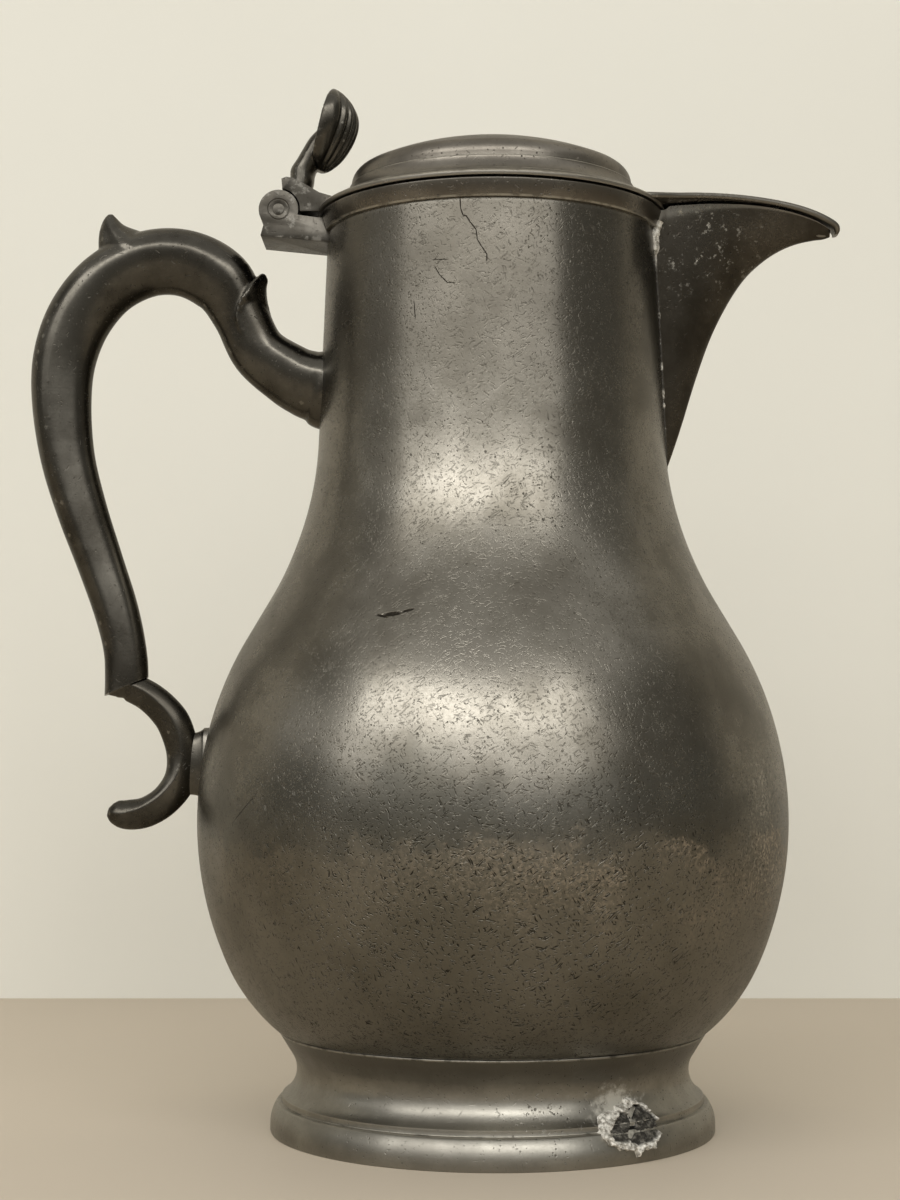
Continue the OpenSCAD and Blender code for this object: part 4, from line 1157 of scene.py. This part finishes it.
# %% Scroll and boss pieces
# Shares of the handle's reach, height and thickness, and where the ridge lies
SCROLL = smooth_rows([
    [0.7333, 0.0123, 0.03, 0.25], [0.7290, 0.0140, 0.10, 0.25], [0.7180, 0.0175, 0.19, 0.25],
    [0.7012, 0.0219, 0.294, 0.24], [0.6608, 0.0260, 0.433, 0.22], [0.5933, 0.0068, 0.471, 0.18],
    [0.536, -0.024, 0.502, 0.14], [0.499, -0.058, 0.52, 0.12], [0.474, -0.113, 0.50, 0.00],
    [0.480, -0.167, 0.50, -0.25], [0.528, -0.211, 0.475, -0.42], [0.593, -0.237, 0.47, -0.40],
    [0.654, -0.243, 0.46, -0.20], [0.694, -0.239, 0.39, 0.0], [0.714, -0.2355, 0.26, 0.0],
    [0.722, -0.2335, 0.13, 0.0], [0.7245, -0.233, 0.02, 0.0]], 8)
# Boss: distance from the axis, height and width, in mm
BOSS = [(97.5, 20.2, 6.2), (96.0, 19.4, 6.0), (94.0, 19.0, 6.0), (92.0, 19.0, 6.2), (90.4, 19.6, 6.6),
        (89.2, 20.8, 7.2), (88.4, 22.4, 8.0)]
BOSS_Z = sum(ends("handle_boss", Z)) / 2


def scroll_piece():
    """C-scroll, trimmed where the handle's heel sits on it."""
    rings = swept(SCROLL, turn=-1, ridges=SCROLL[:, 3], bend_deg=62.0, count=16)
    piece = fused("handle_scroll_cast", [skin("scroll", rings)], voxel_mm=0.35, relax=4)
    return trimmed(piece, HEEL_AT, [-c for c in HEEL_DOWN])


def boss_piece():
    """Block with rounded corners between the scroll and the belly."""
    turns = np.linspace(0, 2 * math.pi, 40, endpoint=False)
    rings = []
    for out, high, wide in smooth_rows(BOSS, 5):
        rings.append([(-out, wide / 2 * math.cos(a),
                       BOSS_Z + high / 2 * math.copysign(abs(math.sin(a)) ** 0.9, math.sin(a)))
                      for a in turns])
    rings[-1] = to_body(rings[-1], 0.9)
    return skin("handle_boss_wiped", rings, sharp_deg=85)


seat(scroll_piece(), "vessel", "dark_pewter", CAST, "handle_scroll")
seat(boss_piece(), "vessel", "dark_pewter", CAST, "handle_boss")

# %% [markdown]
# ## The thumbpiece
#
# The thumb tips the lid back on a little scallop shell. Its ribs fan out from the stem and are the
# same all over the shell, so a node tree draws them: a grid rolled into half a shell, with the depth,
# width and place of each row read from guide points, and a groove between each two ribs. The thumb's
# side is hollow. Shell and stem are one casting, so they are fused like the handle.

# %% Shell tree
LOBE = 0.19  # share of the shell's width that each smooth outer lobe takes
THIN_MM = 5  # grooves fade out where the shell is less deep than this
SHELL_WALL = 0.8


def rib_wave(tree, across, ribs):
    """Height of the ribs across the shell: 1 on a crest, 0 in a groove, rounder in the lobes."""
    inner = add(tree, RANGE, (across, LOBE, 1 - LOBE, 0.0, ribs), clamp=False)
    outer = add(tree, MATH, (across, 0.5), operation="PINGPONG")
    outer = add(tree, MATH, (outer, LOBE), operation="DIVIDE")
    in_lobe = add(tree, MATH, (outer, 1.0), operation="LESS_THAN")
    between = add(tree, MATH, (1.0, in_lobe), operation="SUBTRACT")
    phase = add(tree, MATH, (inner, between), operation="MULTIPLY")
    phase = add(tree, MATH, (outer, in_lobe, phase), operation="MULTIPLY_ADD")
    wave = add(tree, MATH, (phase, math.pi), operation="MULTIPLY")
    for operation in ("SINE", "ABSOLUTE"):
        wave = add(tree, MATH, (wave,), operation=operation)
    power = add(tree, MATH, (in_lobe, -0.45, 0.9), operation="MULTIPLY_ADD")
    return add(tree, MATH, (wave, power), operation="POWER")


def shell_tree():
    """Two grids rolled into half shells, a ribbed one and a hollow one, welded at their edges."""
    tree, given = new_tree("ribbed shell", "Guide", {
        "Rows": "Int", "Ribs": "Int", "Groove": "Float", "Finish": "Material"})
    place = add(tree, "GeometryNodeInputPosition")
    columns = add(tree, MATH, (given["Ribs"], 16, 1), operation="MULTIPLY_ADD")
    last_row = add(tree, MATH, (given["Rows"], 1), operation="SUBTRACT")
    joined = add(tree, "GeometryNodeJoinGeometry")
    for ribbed in (True, False):
        grid = add(tree, "GeometryNodeMeshGrid", {"Size X": 1.0, "Size Y": 1.0, "Vertices X": columns,
                                                  "Vertices Y": given["Rows"]})
        across, along, _ = add(tree, SPLIT, (grid.outputs["UV Map"],)).outputs
        row = add(tree, MATH, (along, last_row), operation="MULTIPLY")
        row = add(tree, MATH, (row,), operation="ROUND")
        point = add(tree, "GeometryNodeSampleIndex", {"Geometry": given["Guide"], "Value": place,
                                                      "Index": row}, data_type="FLOAT_VECTOR")
        deep, half, up = add(tree, SPLIT, (point,)).outputs
        guided = []
        for name in ("shift", "hollow"):
            field = add(tree, "GeometryNodeInputNamedAttribute", {"Name": name}, data_type="FLOAT")
            guided.append(add(tree, "GeometryNodeSampleIndex", {
                "Geometry": given["Guide"], "Value": field, "Index": row}, data_type="FLOAT"))
        shift, hollow = guided
        thin = add(tree, MATH, (deep, THIN_MM * MM), operation="DIVIDE")
        thin = add(tree, MATH, (1.0, thin), operation="MINIMUM")
        groove = add(tree, MATH, (given["Groove"], thin), operation="MULTIPLY")
        if ribbed:
            cut = add(tree, MATH, (1.0, rib_wave(tree, across, given["Ribs"])), operation="SUBTRACT")
            groove = add(tree, MATH, (cut, groove), operation="MULTIPLY")
            out = add(tree, MATH, (deep, groove), operation="SUBTRACT")
        else:
            out = add(tree, MATH, (deep, SHELL_WALL * MM), operation="SUBTRACT")
            out = add(tree, MATH, (out, hollow), operation="MULTIPLY")
        side = add(tree, MATH, (half, groove), operation="SUBTRACT")
        turn = add(tree, MATH, (across, math.pi, -math.pi / 2), operation="MULTIPLY_ADD")
        cosine = add(tree, MATH, (turn,), operation="COSINE")
        sine = add(tree, MATH, (turn,), operation="SINE")
        x = add(tree, MATH, (out, cosine, shift), operation="MULTIPLY_ADD")
        y = add(tree, MATH, (side, sine), operation="MULTIPLY")
        half_shell = add(tree, "GeometryNodeSetPosition", {
            "Geometry": grid, "Position": add(tree, COMBINE, (x, y, up))})
        wire(tree, half_shell, joined.inputs[0])
    whole = add(tree, "GeometryNodeMergeByDistance", {"Geometry": joined, "Distance": WELD})
    return end_tree(tree, whole, given["Finish"])


SHELL_RIBS = shell_tree()
print("shell tree:", len(SHELL_RIBS.nodes), "nodes")

# %% Thumbpiece
# Shell: shares of height, depth and half width, then its shift and how hollow the thumb's side is
SHELL = smooth_rows([
    [0.00, 0.16, 0.16, 0.24, 0.00], [0.03, 0.40, 0.34, 0.10, 0.00], [0.09, 0.62, 0.52, 0.01, 0.00],
    [0.18, 0.79, 0.70, -0.01, 0.02], [0.30, 0.92, 0.85, -0.01, 0.16], [0.44, 1.01, 0.95, 0.00, 0.40],
    [0.58, 1.04, 1.00, 0.01, 0.56], [0.72, 0.97, 0.97, 0.02, 0.60], [0.84, 0.77, 0.85, 0.04, 0.56],
    [0.93, 0.50, 0.62, 0.07, 0.45], [0.98, 0.28, 0.38, 0.10, 0.25], [1.00, 0.14, 0.20, 0.14, 0.00]], 5)
# Stem: shares of the shell's height for X and Z, of its half width, and of the stem's thickness
STEM = smooth_rows([
    [-0.075, -0.350, 0.48, 1.00], [-0.073, -0.179, 0.48, 1.08], [-0.089, -0.058, 0.48, 1.12],
    [-0.053, 0.075, 0.48, 1.06], [-0.017, 0.209, 0.50, 1.02], [0.023, 0.345, 0.52, 0.98],
    [0.060, 0.450, 0.50, 0.80]], 4)
SHELL_H, SHELL_DEEP, SHELL_HALF, STEM_T = 26.0, 11.0, 12.0, 7.0
SHELL_FOOT, SHELL_LEAN = (-56.29, 0.0, 295.4), 13.0


def shell_part():
    """Ribbed shell, from guide points that hold each row's sizes."""
    rows = np.vstack([[0, 0, 0, 0.24, 0], SHELL, [1.003, 0, 0, 0.14, 0]])
    mesh = mesh_of("shell", [(d * SHELL_DEEP, w * SHELL_HALF, h * SHELL_H) for h, d, w, _, _ in rows])
    for name, values in (("shift", rows[:, 3] * SHELL_DEEP * MM), ("hollow", rows[:, 4])):
        mesh.attributes.new(name, "FLOAT", "POINT").data.foreach_set("value", values)
    piece = put("shell", mesh)
    change = piece.modifiers.new("shell", "NODES")
    change.node_group = SHELL_RIBS
    set_inputs(change, {"Rows": len(rows), "Ribs": 7, "Groove": 1.2 * MM, "Finish": CAST})
    return settle(piece, sharp_deg=180)


def thumbpiece():
    """Shell and stem in one casting, leaned back and set on the hinge's lug."""
    turns = np.linspace(0, 2 * math.pi, 36, endpoint=False)
    stem = skin("stem", [[(SHELL_H * x + STEM_T / 2 * t * math.cos(a), SHELL_HALF * w * math.sin(a),
                           SHELL_H * z) for a in turns] for x, z, w, t in STEM])
    piece = fused("thumbpiece_cast", [shell_part(), stem], voxel_mm=0.26, relax=2)
    lean = Matrix.Rotation(math.radians(SHELL_LEAN), 4, "Y")
    piece.data.transform(Matrix.Translation([c * MM for c in SHELL_FOOT]) @ lean)
    return piece


seat(thumbpiece(), "lid", "dark_pewter", CAST, "thumbpiece")

# %% [markdown]
# ## The hinge
#
# The hinge block, the lid's lug and the pin are plain filed blocks, and the CAD solids have their
# shapes already. Copies of their meshes only need what a file leaves: broken edges. Flat areas are
# merged first, so that the bevel runs along real corners and not along old triangle borders.

# %% Hinge pieces
def filed(node, body, edge_mm):
    """Copy of a CAD solid with its edges broken."""
    mesh = bpy.data.objects[node].data.copy()
    work = bmesh.new()
    work.from_mesh(mesh)
    bmesh.ops.remove_doubles(work, verts=work.verts, dist=WELD)
    bmesh.ops.dissolve_limit(work, angle_limit=math.radians(2), verts=work.verts, edges=work.edges)
    work.to_mesh(mesh)
    work.free()
    piece = put(node + "_filed", mesh)
    round_off = piece.modifiers.new("edges", "BEVEL")
    round_off.width = edge_mm * MM
    round_off.segments = 2
    round_off.limit_method = "ANGLE"
    round_off.angle_limit = math.radians(30)
    seat(settle(piece, sharp_deg=32), body, "dark_pewter", HINGE, node)


filed("hinge_block", "vessel", 0.22)
filed("hinge_pin", "vessel", 0.1)
filed("hinge_lug", "lid", 0.35)

# %% [markdown]
# ## The mend on the foot
#
# Someone filled a corroded hole in the foot with solder. A crumbly rim stands proud round a flat,
# dark filling, and a crack runs through it. It is a height field over the foot's own face, laid out
# as rings round the mend's middle, with the two outlines given as distances in all directions.

# %% Outlines of the mend
MEND_TURN, MEND_AT, MEND_R = -55.0, (2.1, 10.36), 64.0
# Directions in degrees, seen from outside, and distances in mm
CRUST_RIM = [(4, 10.2), (18, 9.7), (42, 8.4), (68, 7.5), (86, 6.9), (108, 5.3), (146, 7.1), (162, 10.3),
             (174, 12.3), (187, 12.3), (200, 11.7), (215, 10.0), (249, 7.4), (259, 9.1), (277, 7.3),
             (305, 8.9), (326, 8.7), (344, 9.1)]
FILL_RIM = [(6, 8.1), (23, 6.8), (46, 5.8), (98, 1.9), (162, 5.0), (181, 7.2), (201, 8.7), (225, 4.7),
            (289, 4.4), (313, 5.9), (339, 7.0), (353, 9.0)]
MEND_CRACK = [(6.1, 14.5), (2.3, 12.0), (2.1, 9.9), (-0.7, 7.6)]


def rim_reach(rim, degrees):
    """Distance of an outline from the mend's middle, in a direction."""
    return float(np.interp(degrees, [r[0] for r in rim], [r[1] for r in rim], period=360))


def soft(value):
    """Smooth step from 0 to 1."""
    value = min(max(value, 0.0), 1.0)
    return value * value * (3 - 2 * value)


def crack_at(spot):
    """1 on the crack's line, 0 a millimetre away."""
    best = 9.0
    for a, b in zip(MEND_CRACK[:-1], MEND_CRACK[1:]):
        a, b = np.array(a), np.array(b)
        t = min(max(np.dot(spot - a, b - a) / np.dot(b - a, b - a), 0), 1)
        best = min(best, np.linalg.norm(spot - a - t * (b - a)))
    return soft((1.0 - best) / 0.5)


def mend_point(spot, proud):
    """Point over the foot's face, so far proud of it."""
    turn = math.radians(MEND_TURN) + spot[0] / MEND_R
    r = np.interp([spot[1] - 0.8, spot[1], spot[1] + 0.8], FOOT_Z, FOOT_R).mean() + proud
    return (r * math.cos(turn), r * math.sin(turn), max(spot[1], 0.6))


print("mend: outlines of", len(CRUST_RIM), "and", len(FILL_RIM), "points")

# %% Mend piece
MEND_AROUND, MEND_OUT, MEND_DEEP = 160, 44, -1.4


def mend_spot(turn, step):
    """Spot on one ring of the mend, its height, and its shares of filling and crack."""
    crust = rim_reach(CRUST_RIM, turn)
    reach = 1.06 * crust * step / MEND_OUT
    spot = np.array(MEND_AT) + reach * polar(turn)
    lump = noise.fractal(Vector((0.55 * spot[0], 0.55 * spot[1], 3.1)), 0.9, 2.1, 4)
    edge = soft((crust + 0.7 * lump - reach) / 1.3)
    wall = soft((reach - rim_reach(FILL_RIM, turn) + 0.6 * lump) / 1.1)
    crack = crack_at(spot + 0.25 * lump)
    height = edge * (0.35 + wall * (1.15 + 0.9 * lump) + 0.12 * lump) - 0.8 * (1 - edge) - 0.5 * crack
    return spot, height, 1 - wall, crack


def mend_piece():
    """Crumbly face and smooth back of the mend, closed round the edge."""
    turns = [360 * i / MEND_AROUND for i in range(MEND_AROUND)]
    spots = [mend_spot(turn, step) for step in range(MEND_OUT + 1) for turn in turns]
    points = [mend_point(spot, height) for spot, height, _, _ in spots]
    points += [mend_point(spot, MEND_DEEP) for spot, _, _, _ in spots]
    following = [(i, (i + 1) % MEND_AROUND) for i in range(MEND_AROUND)]
    faces = []
    for base in (0, len(spots)):
        for step in range(MEND_OUT):
            ring, outer = base + step * MEND_AROUND, base + (step + 1) * MEND_AROUND
            faces += [(ring + i, ring + k, outer + k, outer + i) for i, k in following]
    front = MEND_OUT * MEND_AROUND
    back = len(spots) + front
    faces += [(front + i, front + k, back + k, back + i) for i, k in following]
    mesh = mesh_of("foot_mend", points, (), faces)
    for name, column in (("filling", 2), ("crack", 3)):
        values = [row[column] for row in spots] * 2
        mesh.attributes.new(name, "FLOAT", "POINT").data.foreach_set("value", values)
    tidy(mesh, sharp_deg=80)
    return put("foot_mend", mesh)


seat(mend_piece(), "vessel", "solder_patch", SOLDER, "foot_repair")

# %% [markdown]
# ## The disc under the body
#
# The disc that closes the foot from below is plain and out of sight. Its CAD solid is right as it
# is, so it stays and only gets the dull cast finish.

# %% Finish of the base disc
disc = bpy.data.objects["base_disc"]
disc.data.materials.clear()
disc.data.materials.append(CAST)
print("kept CAD solid: base_disc")

# %% [markdown]
# ## Floor, light and camera
#
# The flagon stands on a pale floor in front of a pale wall. Metal shows what stands round it, so the
# lamps are wide soft panels behind the camera, set in arcs: a high bright one makes the long
# rectangle on the neck and belly, and two dimmer ones below it fill the rest. The wall lets through
# what looks at it from behind, so that the flagon can be seen from all sides. The camera is level
# with the belly and close, which is why the foot looks seen from above and the lid from below.

# %% Floor and wall
def plain(name, code, mirrored, rough, one_way=False):
    """Plain surface, with a duller colour in mirror images; a one-way one is clear from behind."""
    material, tree, where, shader = new_material(name)
    shader.inputs["Metallic"].default_value = 0.0
    shader.inputs["Roughness"].default_value = rough
    patches = add(tree, NOISE, {"Vector": where, "Scale": 1 / (250.0 * MM), "Detail": 2.0,
                                "Roughness": 0.6})
    share = add(tree, RANGE, (patches, 0.2, 0.8, 0.0, 0.05), **SMOOTH)
    tint = add(tree, MIX, {0: share, 6: linear(code), 7: linear("#8F8676")}, **COLOURS)
    glossy = add(tree, "ShaderNodeLightPath").outputs["Is Glossy Ray"]
    tint = add(tree, MIX, {0: glossy, 6: tint, 7: linear(mirrored)}, **COLOURS)
    wire(tree, tint, shader.inputs["Base Color"])
    if one_way:
        behind = add(tree, "ShaderNodeNewGeometry").outputs["Backfacing"]
        clear = add(tree, "ShaderNodeBsdfTransparent")
        either = add(tree, "ShaderNodeMixShader", (behind, shader, clear))
        output = next(n for n in tree.nodes if n.type == "OUTPUT_MATERIAL")
        wire(tree, either, output.inputs["Surface"])
    return material


def plane(name, corners, material):
    """Flat piece of the stage."""
    mesh = bpy.data.meshes.new(name)
    mesh.from_pydata(corners, [], [(0, 1, 2, 3)])
    mesh.materials.append(material)
    put(name, mesh)


# Matt paint: an even pale tone without mirror images, so that only the flagon shines
plane("floor", [(-3, -0.9, 0), (3, -0.9, 0), (3, 0.9, 0), (-3, 0.9, 0)],
      plain("matt_floor_paint", "#CBBFAD", "#B3A897", rough=0.6))
plane("wall", [(-3, 0.3, 0), (3, 0.3, 0), (3, 0.3, 3), (-3, 0.3, 3)],
      plain("matt_wall_paint", "#E4E3DA", "#B9B5AA", rough=0.9, one_way=True))
print("stage: floor and wall")

# %% Lamps and room
LAMP_WHITE = "#FFFDFA"
PANELS_FAR = 3.0
PANELS_AIM = (0, 0, 0.25)


def lamp(name, place, target, size, watts):
    """Flat lamp at a place that faces a target."""
    data = bpy.data.lights.new(name, "AREA")
    data.shape = "RECTANGLE"
    data.size, data.size_y = size
    data.energy = watts
    data.color = linear(LAMP_WHITE)[:3]
    piece = put(name, data)
    piece.location = place
    piece.rotation_euler = (Vector(target) - Vector(place)).to_track_quat("-Z", "Y").to_euler()


def panels(name, rise_deg, high, radiance, turns):
    """Lamps in an arc round the neck, each given by its turn, its width and its share of the light."""
    for turn, wide, share in turns:
        at = Vector((PANELS_FAR * math.sin(math.radians(turn)), -PANELS_FAR * math.cos(math.radians(turn)),
                     PANELS_AIM[2] + PANELS_FAR * math.tan(math.radians(rise_deg))))
        lamp(name, at, PANELS_AIM, (wide, high), share * radiance * math.pi * wide * high)


panels("high_panel", 33.5, 0.92, 4.7, ((-44, 1.9, 0.85), (-10, 2.0, 1.0), (24, 1.7, 0.95)))
panels("middle_panel", 20.0, 0.72, 1.8, ((-80, 1.9, 0.22), (-45, 2.0, 1.0), (-9, 2.2, 1.0), (27, 1.9, 1.0)))
panels("low_panel", 8.0, 0.56, 0.8, ((-45, 2.0, 1.0), (-9, 2.2, 1.0), (27, 1.9, 1.0)))
lamp("ceiling", (0, -0.5, 1.7), (0, -0.4, 0), (3.4, 2.0), 9.0)

world = bpy.data.worlds.new("room")
world.use_nodes = True
room = world.node_tree
seen = add(room, "ShaderNodeLightPath").outputs["Is Camera Ray"]
wall_or_room = add(room, MIX, {0: seen, 6: linear("#828079"), 7: linear("#DEDACD")}, **COLOURS)
wire(room, wall_or_room, room.nodes["Background"].inputs[0])
room.nodes["Background"].inputs[1].default_value = 1.0
bpy.context.scene.world = world
print("lamps:", len(bpy.data.lights))

# %% Camera
camera_data = bpy.data.cameras.new("photo_view")
camera_data.lens = 63.0
camera_data.sensor_width = 36.0
camera_data.sensor_fit = "AUTO"
camera = put("photo_view", camera_data)
camera.location = (-0.0129, -0.648, 0.1221)
camera.rotation_euler = (math.radians(93.4), 0, 0)
bpy.context.scene.camera = camera
bpy.context.scene.view_settings.view_transform = "Standard"
print("camera at", [round(c, 4) for c in camera.location])
